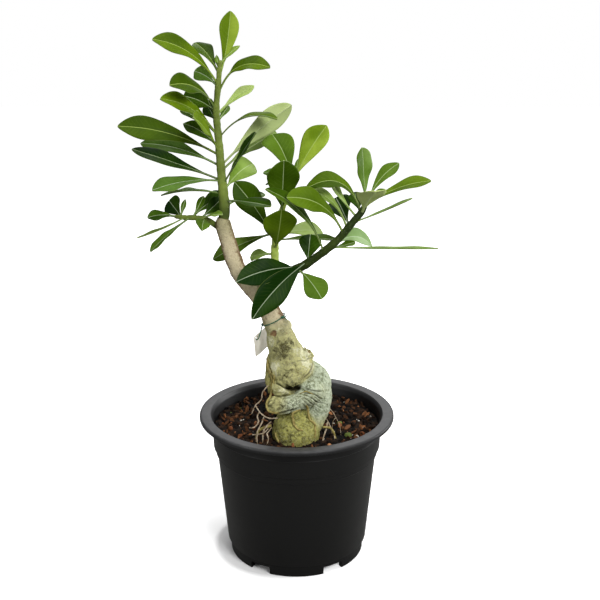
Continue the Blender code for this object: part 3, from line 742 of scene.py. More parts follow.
def formShares(places):
    # how much of each place belongs to each grown form, from its distance to that form's surface
    depths = {}
    for name, (centre, sizes) in caudex["swellings"].items():
        scaled = (places - np.array(centre)) / np.array(sizes)
        depths[name] = (np.linalg.norm(scaled, axis=1) - 1) * min(sizes)
    for name, rows in caudex["limbs"].items():
        route = smoothRoute(rows, 2.0)
        away, share = distanceTo(places, route)
        radii = np.interp(share, np.linspace(0, 1, len(route)), [row.w for row in route])
        depths[name] = away - radii
    weights = {name: np.exp(-np.clip(depth, -3, 60) / 0.6) for name, depth in depths.items()}
    total = sum(weights.values())
    return {name: weight / total for name, weight in weights.items()}


def foldRows():
    # the fan of folds: its first, middle and last are set, and the others lie between them
    folds, rows = caudex["folds"], []
    for step in range(2 * folds["count"] - 1):
        share = step / (2 * folds["count"] - 2)
        weights = ((1 - share) * (1 - 2 * share), 4 * share * (1 - share), share * (2 * share - 1))
        route = [tuple(sum(weight * spot[axis] for weight, spot in zip(weights, folds[part]))
                       for axis in range(3)) for part in ("begin", "middle", "end")]
        rows.append((*folds["fine" if step % 2 else "deep"], route))
    return rows


def pressCreases(body):
    tree = skinTree(body)
    places, facing = points(body), normals(body)
    move, dark = np.zeros(len(places)), np.zeros(len(places))
    for depth, wide, rows in caudex["creases"] + foldRows():
        near = np.linalg.norm(places - np.array(rows[len(rows) // 2][:3]), axis=1) < 40
        away, share = np.full(len(places), 99.0), np.zeros(len(places))
        away[near], share[near] = distanceTo(places[near], onSkin(tree, rows, calm=3))
        ends = np.clip(np.sin(np.pi * np.clip(share, 0.02, 0.98)), 0, 1) ** 0.5
        pressed = np.exp(-(away / wide) ** 2) * ends
        lips = np.exp(-((away - 2.0 * wide) / wide) ** 2) * ends
        move -= depth * pressed - caudex["lip"] * depth * lips
        # dark is painted shade in and beside each crease and fold
        dark = np.maximum(dark, np.exp(-(away / (1.25 * wide)) ** 2) * ends * min(1.0, 0.15 + depth / 2.4))
    scarred = np.zeros(len(places))
    for x, y, z, radius in caudex["scars"]:
        spot = np.array(tree.find_nearest(Vector((x, y, z)))[0])
        away = np.linalg.norm(places - spot, axis=1)
        dish = np.exp(-(away / radius) ** 4)
        ring = np.exp(-((away - 1.15 * radius) / 0.5) ** 2)
        move += caudex["scarRim"] * ring - caudex["scarDish"] * dish
        scarred = np.maximum(scarred, dish)
    movePoints(body, places + facing * np.clip(move, *caudex["pressed"])[:, None])
    return dark, scarred


def patchShare(places, kind):
    # soft round patches of colour, the strongest at each place
    share = np.zeros(len(places))
    for x, y, z, radius, strength in caudex["stains"][kind]:
        away = np.linalg.norm(places - np.array((x, y, z)), axis=1)
        share = np.maximum(share, strength * np.exp(-(away / radius) ** 2))
    return share


def makeCaudex():
    body = growCaudex()
    places = points(body)
    shares = formShares(places)
    patchShares = {kind: patchShare(places, kind) for kind in caudex["stains"]}
    dark, scarred = pressCreases(body)
    x, z = places[:, 0], places[:, 2]
    grey = shares["shoulder"] + shares["elbow"] + shares["arm"] * np.clip((x + 13) / 9, 0, 0.85)
    grey *= np.clip((z - 113) / 11, 0, 1)
    limb = shares["leftLimb"] + shares["rightLimb"] + shares["neck"] * np.clip((z - 188) / 8, 0, 1)
    mark(body, "form", np.stack([grey, shares["bulb"], limb], axis=1))
    # painted shade of the creases, the scars, and the left root's share
    mark(body, "wear", np.stack([dark, scarred, shares["leftRoot"]], axis=1))
    # dark stains with painted shade in the hollow under the drop, pale patches, and painted shade on the grey
    # shoulder
    mark(body, "stain", np.stack([patchShares["dark"], patchShares["pale"], patchShares["cool"]], axis=1))
    mark(body, "cracked", patchShares["cracked"])
    # how far each point faces the front, for painted light on the limbs' fronts and painted shade at their
    # sides
    mark(body, "fronting", np.clip(-normals(body)[:, 1], 0, 1))
    for i, (size, rise) in enumerate(caudex["roughness"]):
        roughen(body, f"skin{i}", size, rise)
    softShade(body)
    return body


def skinFinish():
    paint = caudex["colours"]
    finish = Finish("caudexSkin")
    spot = finish.place()
    grey, bulb, limb = finish.split(finish.layer("form"))
    crease, scar, root = finish.split(finish.layer("wear"))
    darkStainAndHollowShade, paleStain, shadedGreyShare = finish.split(finish.layer("stain"))
    cracked = finish.layer("cracked", "Fac")
    x, y, z = finish.split(spot)
    patch = finish.noise(spot, 9.0, 4.0, 0.62, 0.6)
    mottle = finish.noise(spot, 2.4, 4.0, 0.65)
    streaks = finish.noise(spot, 1.3, 3.0, 0.6, 1.2)
    fine = finish.noise(spot, 0.55, 3.0, 0.6)
    specks = finish.cells(spot, 1.5)
    patches, mottles = finish.fade(patch, 0.42, 0.66), finish.fade(mottle, 0.38, 0.68)
    ragged = (mottle - 0.5) * 3.2 + (fine - 0.5) * 1.2
    trunk = finish.mix(patches * 0.5 + mottles * 0.35, paint["trunk"], paint["trunkDark"])
    trunk = finish.mix(finish.fade(z, 178.0, 196.0) * 0.6, trunk, paint["neck"])
    trunk = finish.mix(finish.fade(paleStain + ragged, 0.2, 0.75), trunk, paint["pale"])
    low = finish.mix(mottles * 0.9, paint["bulb"], paint["bulbDark"])
    low = finish.mix(finish.fade(z, 114.0, 100.0) * 0.6, low, paint["bulbFoot"])
    cool = finish.mix(mottles, paint["grey"], paint["greyDark"])
    # painted shade on the shoulder's wrinkled zone
    cool = finish.mix(finish.fade(shadedGreyShare + ragged, 0.2, 0.8), cool, paint["greyShade"])
    # limbs painted pale where they face the front and brown at the sides: painted light and shade
    fronting = finish.layer("fronting", "Fac")
    woody = finish.mix(finish.fade(fronting + (mottle - 0.5) * 1.6, 0.35, 0.85), paint["limbSide"],
                       paint["limbFront"])
    woody = finish.mix(finish.fade(fine, 0.54, 0.66) * 0.5, woody, paint["limbFleck"])
    woody = finish.mix(finish.fade(z, 246.0, 268.0) * 0.55, woody, paint["limbTop"])
    colour = finish.mix(bulb, trunk, low)
    colour = finish.mix(grey, colour, cool)
    colour = finish.mix(limb, colour, woody)
    colour = finish.mix(root * 0.8, colour, paint["root"])
    # dark stains, and painted shade in the hollow under the drop
    colour = finish.mix(finish.fade(darkStainAndHollowShade + ragged * 0.8, 0.2, 0.9) * 0.92, colour, paint["stain"])
    dots = finish.fade(specks, 0.24, 0.10) * finish.fade(finish.noise(spot, 3.1), 0.42, 0.58)
    colour = finish.mix(dots * 0.65, colour, paint["dot"])
    cords = finish.fade(finish.noise(spot, 4.2, 2.0, 0.5, 2.2), 0.50, 0.54) * finish.fade(
        finish.noise(spot, 4.2, 2.0, 0.5, 2.2), 0.58, 0.54) * (1 - grey * 0.6) * (1 - limb)
    colour = finish.mix(cords * 0.4, colour, paint["cord"])
    flecks = finish.fade(fine, 0.58, 0.72) * (1 - 0.7 * limb)
    colour = finish.mix(flecks * 0.45, colour, paint["fleck"])
    colour = finish.mix(finish.fade(streaks, 0.58, 0.72) * 0.45 * (1 - grey), colour, paint["streak"])
    crazing = finish.fade(finish.cells(spot, 2.1, "DISTANCE_TO_EDGE"), 0.10, 0.0)
    colour = finish.mix(crazing * cracked * 0.85, colour, paint["crazing"])
    # painted shade in the creases
    colour = finish.mix(finish.fade(crease, 0.1, 0.85) * 0.93, colour, paint["crease"])
    colour = finish.mix(finish.fade(scar + ragged * 0.6, 0.35, 0.9) * 0.8, colour, paint["scar"])
    cracks = finish.cells(spot, 1.9, "DISTANCE_TO_EDGE")
    crazed = finish.fade(cracks, 0.0, 0.14) * grey * 0.5 + (1 - grey * 0.5)
    height = (mottle * 0.8 + fine * 0.4) * (1 - grey * 0.55) + crazed * 0.3 + cords * 0.5
    height = height - dots * 0.3 - crazing * cracked * 0.8
    return finish.done(BaseColor=colour, Roughness=0.46 + 0.2 * mottle, SpecularIORLevel=0.16,
                       Normal=finish.bump(height, 1.0, 0.9))


# Green shoots, each a given route of x, y, z, radius
stems = {
    "main_stem": [(-54.3, 2.2, 266.4, 4.6), (-53.2, 3, 276, 4.3), (-55, 5, 298, 3.6), (-57, 8, 327, 3.0),
                  (-58.2, 8, 346, 2.6), (-56.6, 8, 362, 2.3), (-55.4, 8, 373, 1.9), (-54.6, 8, 381, 1.3)],
    "centre_stem": [(-14.2, -2.9, 225.8, 3.2), (-16.2, 4, 236, 3.1), (-15.8, 8, 250, 2.7),
                    (-11, 11, 272, 2.3), (-5.5, 13, 288, 2.0), (-2, 14, 298, 1.5)],
    "right_stem": [(-5.3, -10, 230.3, 4.1), (7.5, -12, 237, 3.8), (27.5, -14, 253, 3.4),
                   (40.5, -12, 267.5, 3.1), (48, -10, 276.5, 2.6), (51.5, -8.5, 286, 1.6)],
    "left_twig": [(-59.9, 3.3, 262.6, 2.4), (-66, 5, 266.0, 2.3), (-75, 7, 267.6, 2.0), (-84, 9, 267.5, 1.7),
                  (-90.5, 10, 268, 1.3)],
}
shoot = {
    "rootIn": 4.0,                   # how far each shoot is let into the wood below it
    "node": 0.32,                    # how far a leaf's cushion stands out from the shoot
    "nodeLength": 2.2,
    "tipRound": 0.7,
    "roughness": (2.0, 0.35, 1),     # size, height and depth of the skin's unevenness
    "tones": {"main_stem": 0.48, "centre_stem": 0.86, "right_stem": 0.10, "left_twig": 0.40},
    "slim": {"main_stem": 0.88, "centre_stem": 0.95, "right_stem": 0.82, "left_twig": 0.95},
    "colours": {
        "dark": (0.014, 0.028, 0.0025), "pale": (0.33, 0.43, 0.075), "mottle": (0.05, 0.08, 0.008),
        "bark": (0.24, 0.21, 0.085), "barkDark": (0.09, 0.085, 0.028), "streak": (0.30, 0.34, 0.14),
        "dot": (0.34, 0.32, 0.18),
    },
}


def stemAt(stem, station):
    # centre, direction and radius of a stem at a share of its length
    route = smoothRoute(stems[stem], 1.0)
    runs = [(b.xyz - a.xyz).length for a, b in zip(route, route[1:])]
    left = station * sum(runs)
    for a, b, run in zip(route, route[1:], runs):
        if left <= run:
            break
        left -= run
    here = a.lerp(b, min(1.0, left / run))
    return here.xyz, (b.xyz - a.xyz).normalized(), here.w


def makeStem(name):
    route = smoothRoute(stems[name], 0.8)
    inwards = (route[0].xyz - route[1].xyz).normalized()
    route.insert(0, Vector((*(route[0].xyz + inwards * shoot["rootIn"]), route[0].w * 1.12)))
    ahead = (route[-1].xyz - route[-2].xyz).normalized()
    tip = route[-1]
    route.append(Vector((*(tip.xyz + ahead * shoot["tipRound"] * tip.w), tip.w * 0.75)))
    route.append(Vector((*(tip.xyz + ahead * 1.15 * shoot["tipRound"] * tip.w), tip.w * 0.35)))
    stalks = [stemAt(name, row[1])[0] for row in leaves.values() if row[0] == name]
    for row in route:
        near = min((row.xyz - stalk).length for stalk in stalks)
        row.w = row.w * shoot["slim"][name] + shoot["node"] * math.exp(-(near / shoot["nodeLength"]) ** 2)
    piece = tube(name + "Shoot", route, 8)
    distance, share = distanceTo(points(piece), route)
    mark(piece, "shoot", np.stack([share, np.full(len(share), shoot["tones"][name]), distance], axis=1))
    roughen(piece, name + "Skin", *shoot["roughness"])
    softShade(piece)
    return piece


def shootFinish():
    paint = shoot["colours"]
    finish = Finish("shootSkin")
    spot = finish.place()
    share, tone, distance = finish.split(finish.layer("shoot"))
    streak = finish.noise(finish.stretched(spot, 0.22), 1.4, 3.0, 0.6)
    mottle = finish.noise(spot, 3.2, 3.0, 0.6)
    dots = finish.fade(finish.cells(spot, 1.7), 0.2, 0.08)
    broad = finish.noise(spot, 22.0, 2.0)
    shade = tone + (broad - 0.5) * 0.5 - finish.fade(share, 0.22, 0.05) * 0.22
    green = finish.mix(finish.fade(shade, 0.0, 1.0), paint["dark"], paint["pale"])
    green = finish.mix(finish.fade(mottle, 0.4, 0.7) * 0.25, green, paint["mottle"])
    bark = finish.mix(mottle, paint["bark"], paint["barkDark"])
    colour = finish.mix(finish.fade(share, 0.07, 0.01) * 0.7, green, bark)
    colour = finish.mix(finish.fade(streak, 0.5, 0.72) * 0.22 * tone, colour, paint["streak"])
    colour = finish.mix(dots * 0.35, colour, paint["dot"])
    return finish.done(BaseColor=colour, Roughness=0.44 + 0.15 * mottle, SpecularIORLevel=0.15,
                       Normal=finish.bump(streak * 0.6 + dots * 0.6, 0.35, 0.6))


# Leaves: stem, place up the stem, tip seen from the base, width, arch, roll towards the front in degrees,
# outline, tone (0 dark, 1 pale) and warmth (0 blue-green, 1 yellow-green)
leaves = {
    "main_leaf_01": ("main_stem", 0.93, (6, 3, 43), 15, -1, 90, "oblong", 0.64, 0.9),
    "main_leaf_02": ("main_stem", 0.87, (-42, -8, 30), 17, 7, 45, "oblong", 0.46, 1.0),
    "main_leaf_03": ("main_stem", 0.93, (-18, 26, 20), 14, 3, 10, "oblong", 0.33, 0.8),
    "main_leaf_04": ("main_stem", 0.82, (35, -5, 17), 16, 10, 35, "spoon", 0.42, 1.0),
    "main_leaf_05": ("main_stem", 0.72, (-27, -24, 17), 18, 7, 45, "oblong", 0.28, 1.0),
    "main_leaf_06": ("main_stem", 0.70, (-24, 24, 8), 21, 2, 60, "round", 0.27, 0.4),
    "main_leaf_07": ("main_stem", 0.56, (-35, -18, 26), 16, 6, 45, "oblong", 0.52, 1.0),
    "main_leaf_08": ("main_stem", 0.48, (-25, 18, 14), 12, 3, 40, "slim", 0.32, 0.4),
    "main_leaf_09": ("main_stem", 0.45, (-13, -32, 27), 19, 3, 60, "oblong", 0.60, 1.0),
    "main_leaf_10": ("main_stem", 0.68, (24, 22, 18), 9, 2, 30, "oblong", 0.86, 0.6),
    "main_leaf_11": ("main_stem", 0.54, (40, -12, 13), 14, 8, 10, "spoon", 0.40, 1.0),
    # palest tone: the leaf's own pale green, raised further as painted light where it lies in shade
    "main_leaf_12": ("main_stem", 0.37, (48, 8, 41), 17, 2, -85, "round", 1.00, 0.6),
    "main_leaf_13": ("main_stem", 0.33, (37, 38, 22), 16, 3, -70, "oblong", 0.60, 0.4),
    "main_leaf_14": ("main_stem", 0.25, (23, -18, 38), 13, 1, 50, "oblong", 0.16, 0.2),
    "main_leaf_15": ("main_stem", 0.43, (-68, -10, 21), 20, 5, 50, "oblong", 0.26, 1.0),
    "main_leaf_16": ("main_stem", 0.36, (-58, 21, 13), 18, 4, 30, "oblong", 0.42, 0.2),
    "main_leaf_17": ("main_stem", 0.27, (-61, 0, 22), 16, 1, 30, "oblong", 0.07, 0.4),
    "main_leaf_18": ("main_stem", 0.26, (-44, -24, -3), 17, 3, 25, "oblong", 0.52, 0.1),
    "main_leaf_19": ("main_stem", 0.18, (-43, 8, -3), 12, 3, 0, "slim", 0.55, 0.1),
    "main_leaf_20": ("main_stem", 0.13, (32, -28, 1), 14, 1, 20, "oblong", 0.22, 0.3),
    "main_leaf_21": ("main_stem", 0.10, (25, 27, 3), 14, 3, 20, "oblong", 0.45, 0.3),
    "main_leaf_22": ("main_stem", 0.20, (18, 38, 13), 19, 3, 40, "round", 0.68, 0.5),
    "twig_leaf_01": ("left_twig", 0.97, (-21, -4, 1), 10, 2, 40, "oblong", 0.28, 0.3),
    "twig_leaf_02": ("left_twig", 0.88, (-12, 22, 8), 16, 0, 50, "round", 0.10, 0.1),
    "twig_leaf_03": ("left_twig", 0.80, (-34, -8, -13), 6, -1, -30, "slim", 0.60, 0.5),
    "twig_leaf_04": ("left_twig", 0.66, (-28, -12, -23), 11, 1, 10, "oblong", 0.48, 0.3),
    "twig_leaf_05": ("left_twig", 0.62, (23, 24, 13), 13, 2, 50, "oblong", 0.25, 0.3),
    "centre_leaf_01": ("centre_stem", 0.97, (-14, 17, 30), 27, 3, 10, "fan", 0.48, 0.55),
    "centre_leaf_02": ("centre_stem", 0.94, (24, 12, 41), 20, 2, 40, "oblong", 0.72, 0.9),
    "centre_leaf_03": ("centre_stem", 0.62, (2, -16, 42), 24, 0, 180, "round", 0.32, 0.5),
    "centre_leaf_04": ("centre_stem", 0.28, (5, -26, 34), 25, -2, 180, "fan", 0.46, 0.9),
    "centre_leaf_05": ("centre_stem", 0.37, (-27, 2, 42), 20, 2, 70, "oblong", 0.29, 0.45),
    "centre_leaf_06": ("centre_stem", 0.42, (-47, 16, -25), 17, 2, 50, "oblong", 0.50, 0.4),
    "centre_leaf_07": ("centre_stem", 0.36, (44, -2, 1), 12, 1, 10, "slim", 0.46, 0.5),
    "centre_leaf_08": ("centre_stem", 0.40, (33, 30, -4), 17, 3, 40, "oblong", 0.85, 0.5),
    "right_leaf_01": ("right_stem", 0.62, (-39, -14, 26), 20, 8, 50, "oblong", 0.47, 0.8),
    "right_leaf_02": ("right_stem", 0.38, (-40, -10, 45), 16, 7, 30, "oblong", 0.32, 0.6),
    "right_leaf_03": ("right_stem", 0.87, (-38, 2, 14), 18, 13, 30, "oblong", 0.29, 0.8),
    "right_leaf_04": ("right_stem", 0.70, (-8, 32, 14), 20, 1, 30, "oblong", 0.10, 0.0),
    "right_leaf_05": ("right_stem", 0.97, (-2, -2, 38), 17, 0, 90, "round", 0.56, 0.3),
    "right_leaf_06": ("right_stem", 0.97, (23, 18, 25), 11, 4, 30, "oblong", 0.47, 0.5),
    "right_leaf_07": ("right_stem", 0.93, (44, -4, 19), 13, 4, 30, "oblong", 0.48, 0.9),
    # palest tone: the leaf's own pale green, raised further as painted light on a blade that faces down into
    # shade
    "right_leaf_08": ("right_stem", 0.86, (6, -32, 21), 21, 2, 0, "round", 1.00, 0.8),
    "right_leaf_09": ("right_stem", 0.78, (37, -6, 19), 8, 0, 4, "slim", 0.66, 0.4),
    "right_leaf_10": ("right_stem", 0.47, (29, 24, -5), 18, 7, 40, "oblong", 0.80, 0.0),
    "right_leaf_11": ("right_stem", 0.47, (74, -6, 2), 8, 0, 2, "slim", 0.66, 0.35),
    "right_leaf_12": ("right_stem", 0.08, (-42, -20, -6), 20, 3, 55, "oval", 0.03, 0.1),
    "right_leaf_13": ("right_stem", 0.17, (-37, -27, -35), 21, 3, 70, "oval", 0.02, 0.1),
    "right_leaf_14": ("right_stem", 0.10, (16, -20, -15), 18, 2, 30, "round", 0.50, 0.40),
    # small leaves that stand for no solid of their own
    "bud_leaf_01": ("main_stem", 1.00, (12, 4, 12), 5, 1, 40, "slim", 0.70, 0.6),
    "bud_leaf_02": ("main_stem", 0.95, (-1.5, 4, 10), 3.5, 0, 20, "slim", 0.60, 0.6),
    "bud_leaf_03": ("main_stem", 0.85, (-17, 20, 9), 12, 2, 60, "oblong", 0.52, 0.1),
    "bud_leaf_04": ("main_stem", 0.56, (-25, 10, 15), 9, 3, 30, "oblong", 0.40, 0.5),
    "bud_leaf_05": ("main_stem", 0.62, (-9, 24, 12), 13, 1, 60, "oblong", 0.20, 0.0),
    "bud_leaf_06": ("main_stem", 0.63, (6, 22, 9), 6, 0, 20, "oblong", 0.45, 0.4),
    "bud_leaf_07": ("left_twig", 0.90, (3, 6, 12), 4, 0, 20, "slim", 0.45, 0.4),
    "bud_leaf_08": ("left_twig", 0.60, (7, 10, 14), 6, 0, 20, "oblong", 0.40, 0.4),
    "bud_leaf_09": ("left_twig", 0.35, (16, -8, 4), 8, 1, 20, "oblong", 0.66, 0.5),
    "bud_leaf_10": ("left_twig", 0.30, (0, -14, -5), 11, 2, 20, "oval", 0.50, 0.4),
    "bud_leaf_11": ("left_twig", 0.40, (14, 12, 12), 12, 0, 50, "oblong", 0.16, 0.2),
    "bud_leaf_12": ("centre_stem", 1.00, (2, 2, 14), 4, 0, 20, "slim", 0.60, 0.6),
    "bud_leaf_13": ("centre_stem", 0.90, (-18, 4, 8), 9, 3, 30, "oblong", 0.55, 0.1),
    "bud_leaf_14": ("centre_stem", 0.95, (-18, 8, -5), 6, 1, 20, "oblong", 0.45, 0.3),
    "bud_leaf_15": ("centre_stem", 0.22, (-16, 10, -5), 12, 1, 40, "oblong", 0.75, 0.4),
    "bud_leaf_16": ("right_stem", 0.80, (-20, 8, 29), 8, -1, 20, "oblong", 0.78, 0.4),
    "bud_leaf_17": ("right_stem", 0.68, (-37, 12, 22), 14, 10, 20, "oblong", 0.72, 0.5),
    "bud_leaf_18": ("right_stem", 0.45, (16, 6, 4), 8, 0, 20, "oblong", 0.45, 0.4),
    "bud_leaf_19": ("right_stem", 1.00, (11, 4, 6), 6, 0, 20, "slim", 0.60, 0.5),
    "bud_leaf_20": ("right_stem", 0.85, (-3, 10, 13), 12, 0, 20, "oblong", 0.20, 0.1),
    "bud_leaf_21": ("right_stem", 0.18, (2, 10, 19), 17, 0, 10, "round", 0.18, 0.1),
}
blade = {
    # the stalk's share of the length, how far towards the tip it is widest, its fullness
    "outlines": {"oblong": (0.06, 2.0, 0.75), "slim": (0.05, 1.5, 0.85), "round": (0.1, 1.9, 0.6),
                 "oval": (0.05, 1.2, 0.8), "spoon": (0.3, 1.3, 0.65), "fan": (0.05, 2.4, 0.6)},
    "columns": 14,
    "rows": 44,
    "thickness": 0.85,
    "stemGap": 0.5,                  # the solid leaf's clearance to its stem, which the grown stalk closes
    "solidThickness": 0.9,
    "stalkThick": 1.25,              # the stalk's thickness as a share of the blade's
    "thinner": (0.25, 0.65),         # how much thinner than that its midrib is, and how much more its edge
    "crowding": 1.35,                # draws the columns in to the midrib
    "stalkIn": 0.9,                  # how far the stalk is let into the stem
    "fold": 14.0,                    # degrees each half stands up from the midrib
    "stalk": 1.5,
    "groove": 0.34,                  # depth of the groove over the midrib
    "grooveWide": 0.75,
    "wave": 0.09,                    # waviness of the edge, as a share of the half width
    "veinEvery": 3.3,
    # from the darkest leaf to the palest
    "warmGreens": [(0.0, (0.008, 0.028, 0.0008)), (0.35, (0.052, 0.098, 0.0010)),
                   (0.6, (0.125, 0.205, 0.003)), (0.8, (0.30, 0.41, 0.03)), (1.0, (0.54, 0.63, 0.19))],
    "coolGreens": [(0.0, (0.004, 0.022, 0.0006)), (0.35, (0.032, 0.085, 0.002)),
                   (0.6, (0.098, 0.195, 0.030)), (0.8, (0.24, 0.37, 0.14)), (1.0, (0.44, 0.56, 0.34))],
    "colours": {
        "under": (0.34, 0.42, 0.16), "underVein": (0.48, 0.56, 0.28), "vein": (0.26, 0.38, 0.08),
        # edge is a painted glow of light through the thin margin
        "ribCool": (0.52, 0.62, 0.44), "ribWarm": (0.42, 0.54, 0.13), "edge": (0.34, 0.43, 0.11),
    },
}


def leafSpine(stem, station, reach, arch):
    # base, bend and tip of a leaf's midrib, and the directions that point up and to the front from it
    centre, along, radius = stemAt(stem, station)
    reach = Vector(reach)
    out = Vector((reach.x, reach.y, 0.0))
    out = (out - along * out.dot(along)).normalized()
    heading = Vector((reach.x, reach.y, 0.0)).normalized()
    above = (Vector((0, 0, 1)) * Vector((reach.x, reach.y)).length - heading * reach.z).normalized()
    start = reach * 0.5 + above * (2 * arch)
    beside = abs(start.normalized().dot(along))
    base = centre + out * (radius + blade["stemGap"] + blade["solidThickness"] / 2 * beside)
    rooted = centre + out * (radius - blade["stalkIn"])
    front = reach.normalized().cross(above)
    return rooted, base + start, base + reach, above, front if front.y < 0 else -front


def makeLeaf(name, finishes, stem, station, reach, width, arch, turn, outline, tone, warmth):
    dice = random.Random(name)
    base, control, tip, above, front = leafSpine(stem, station, reach, arch)
    stalk, shift, fullness = blade["outlines"][outline]
    roll, fold = math.radians(turn), math.tan(math.radians(blade["fold"]))
    length = (tip - base).length
    waves, phase, lean = dice.uniform(1.4, 2.6), dice.uniform(0, 6.3), dice.uniform(-0.05, 0.05)
    bpy.ops.mesh.primitive_grid_add(x_subdivisions=blade["columns"], y_subdivisions=blade["rows"], size=2.0,
                                    calc_uvs=True)
    leaf = bpy.context.object
    leaf.name = name
    midThin, edgeThin = blade["thinner"]
    flat, places, facts, thick = points(leaf), [], [], []
    for x, y, _ in flat:
        u = math.copysign(abs(x) ** blade["crowding"], x)
        s = 0.5 - 0.5 * math.cos(math.pi * (y + 1) / 2)
        middle = base * (1 - s) ** 2 + control * 2 * s * (1 - s) + tip * s ** 2
        along = ((control - base) * (1 - s) + (tip - control) * s).normalized()
        up = (above - along * above.dot(along)).normalized()
        side = along.cross(up)
        if side.dot(front) < 0:
            side = -side
        normal = up * math.cos(roll) + side * math.sin(roll)
        across = along.cross(normal)
        grown = max(0.0, (s - stalk) / (1 - stalk))
        half = width / 2 * max(0.0, math.sin(math.pi * grown ** shift)) ** fullness
        least = blade["stalk"] / 2 if s < 0.5 else blade["stalk"] / 6
        half = max(least, half * (1 + lean * math.copysign(1, u)))
        open_ = min(1.0, half / (0.3 * width))       # 0 on the stalk, 1 on the blade
        aside = half * u
        rise = fold * abs(aside) * (1 - 0.25 * abs(u))
        rise -= blade["groove"] * open_ * math.exp(-(aside / blade["grooveWide"]) ** 2)
        swing = math.sin(waves * 6.3 * s + phase + (2.0 if u > 0 else 0.0))
        rise += blade["wave"] * half * u * u * open_ * swing
        places.append(middle + across * aside + normal * rise)
        facts.append((aside, s * length, abs(u)))
        thick.append(blade["stalkThick"] - (midThin + edgeThin * abs(u) ** 0.8) * open_)
    movePoints(leaf, np.array([list(place) for place in places]))
    mark(leaf, "blade", facts)
    mark(leaf, "tone", np.tile((tone, warmth, dice.random()), (len(facts), 1)))
    for finish in finishes:
        leaf.data.materials.append(finish)
    weights = leaf.vertex_groups.new(name="thick")
    for i, share in enumerate(thick):
        weights.add([i], min(1.0, share / blade["stalkThick"]), "REPLACE")
    modify(leaf, "SOLIDIFY", thickness=blade["thickness"] * blade["stalkThick"], offset=0.0,
           vertex_group="thick", material_offset=1, material_offset_rim=1)
    leaf.vertex_groups.clear()
    softShade(leaf)
    return leaf


def leafFinish(name, under):
    # both faces share their veins; the underside is paler and duller
    paint = blade["colours"]
    finish = Finish(name)
    spot = finish.place()
    aside, along, share = finish.split(finish.layer("blade"))
    tone, warmth, luck = finish.split(finish.layer("tone"))
    away = finish.node("ShaderNodeMath", {"operation": "ABSOLUTE"}, {0: aside})
    wobble = finish.noise(spot, 9.0, 2.0)
    faint = finish.noise(spot, 14.0, 2.0)
    step = (along - away * 0.85 + wobble * 3.4) / blade["veinEvery"]
    saw = finish.node("ShaderNodeMath", {"operation": "PINGPONG"}, {0: step, 1: 0.5}) * 2
    vein = finish.fade(saw, 0.78, 1.0) * finish.fade(share, 0.98, 0.6) * finish.fade(away, 0.3, 1.0)
    vein = vein * finish.fade(faint, 0.3, 0.7, 0.15, 1.0)
    rib = finish.fade(away, 0.54, 0.2)
    mottle = finish.noise(spot, 5.0, 4.0, 0.6)
    fine = finish.noise(spot, 0.7, 2.0, 0.6)
    # broad patches of random tone and painted sheen, which also vary the gloss
    toneAndPaintedSheen = finish.noise(spot, 16.0, 2.0, 0.4)
    half = finish.fade(aside, -0.5, 0.5) - 0.5     # one half of a folded blade is lit more than the other
    shade = tone + (toneAndPaintedSheen - 0.5) * 0.34 + (mottle - 0.5) * 0.10 + half * (luck - 0.4) * 0.34
    warm = finish.node("ShaderNodeValToRGB", {"stops": blade["warmGreens"]}, {0: shade})
    cool = finish.node("ShaderNodeValToRGB", {"stops": blade["coolGreens"]}, {0: shade})
    colour = finish.mix(warmth, cool, warm)
    if under:
        colour = finish.mix(0.32, colour, paint["under"])
        colour = finish.mix(vein * 0.18 + rib * 0.7, colour, paint["underVein"])
        rough = 0.52 + 0.12 * fine
        height = rib * 0.9 + vein * 0.5 + fine * 0.1
    else:
        colour = finish.mix(vein * (0.06 + shade * 0.16), colour, paint["vein"])
        colour = finish.mix(rib * 0.62, colour, finish.mix(warmth, paint["ribCool"], paint["ribWarm"]))
        # a pale line along the margin: painted glow of light through the thin edge
        colour = finish.mix(finish.fade(share, 0.95, 1.0) * 0.2, colour, paint["edge"])
        rough = 0.36 + 0.10 * toneAndPaintedSheen + 0.06 * fine
        height = fine * 0.10 - vein * 0.16 + mottle * 0.4
    return finish.done(BaseColor=colour, Roughness=rough, SpecularIORLevel=0.03 if under else 0.05,
                       Normal=finish.bump(height, 0.28, 0.8))


def pieceName(node):
    first, *others = node.split("_")
    return first + "".join(word.capitalize() for word in others)


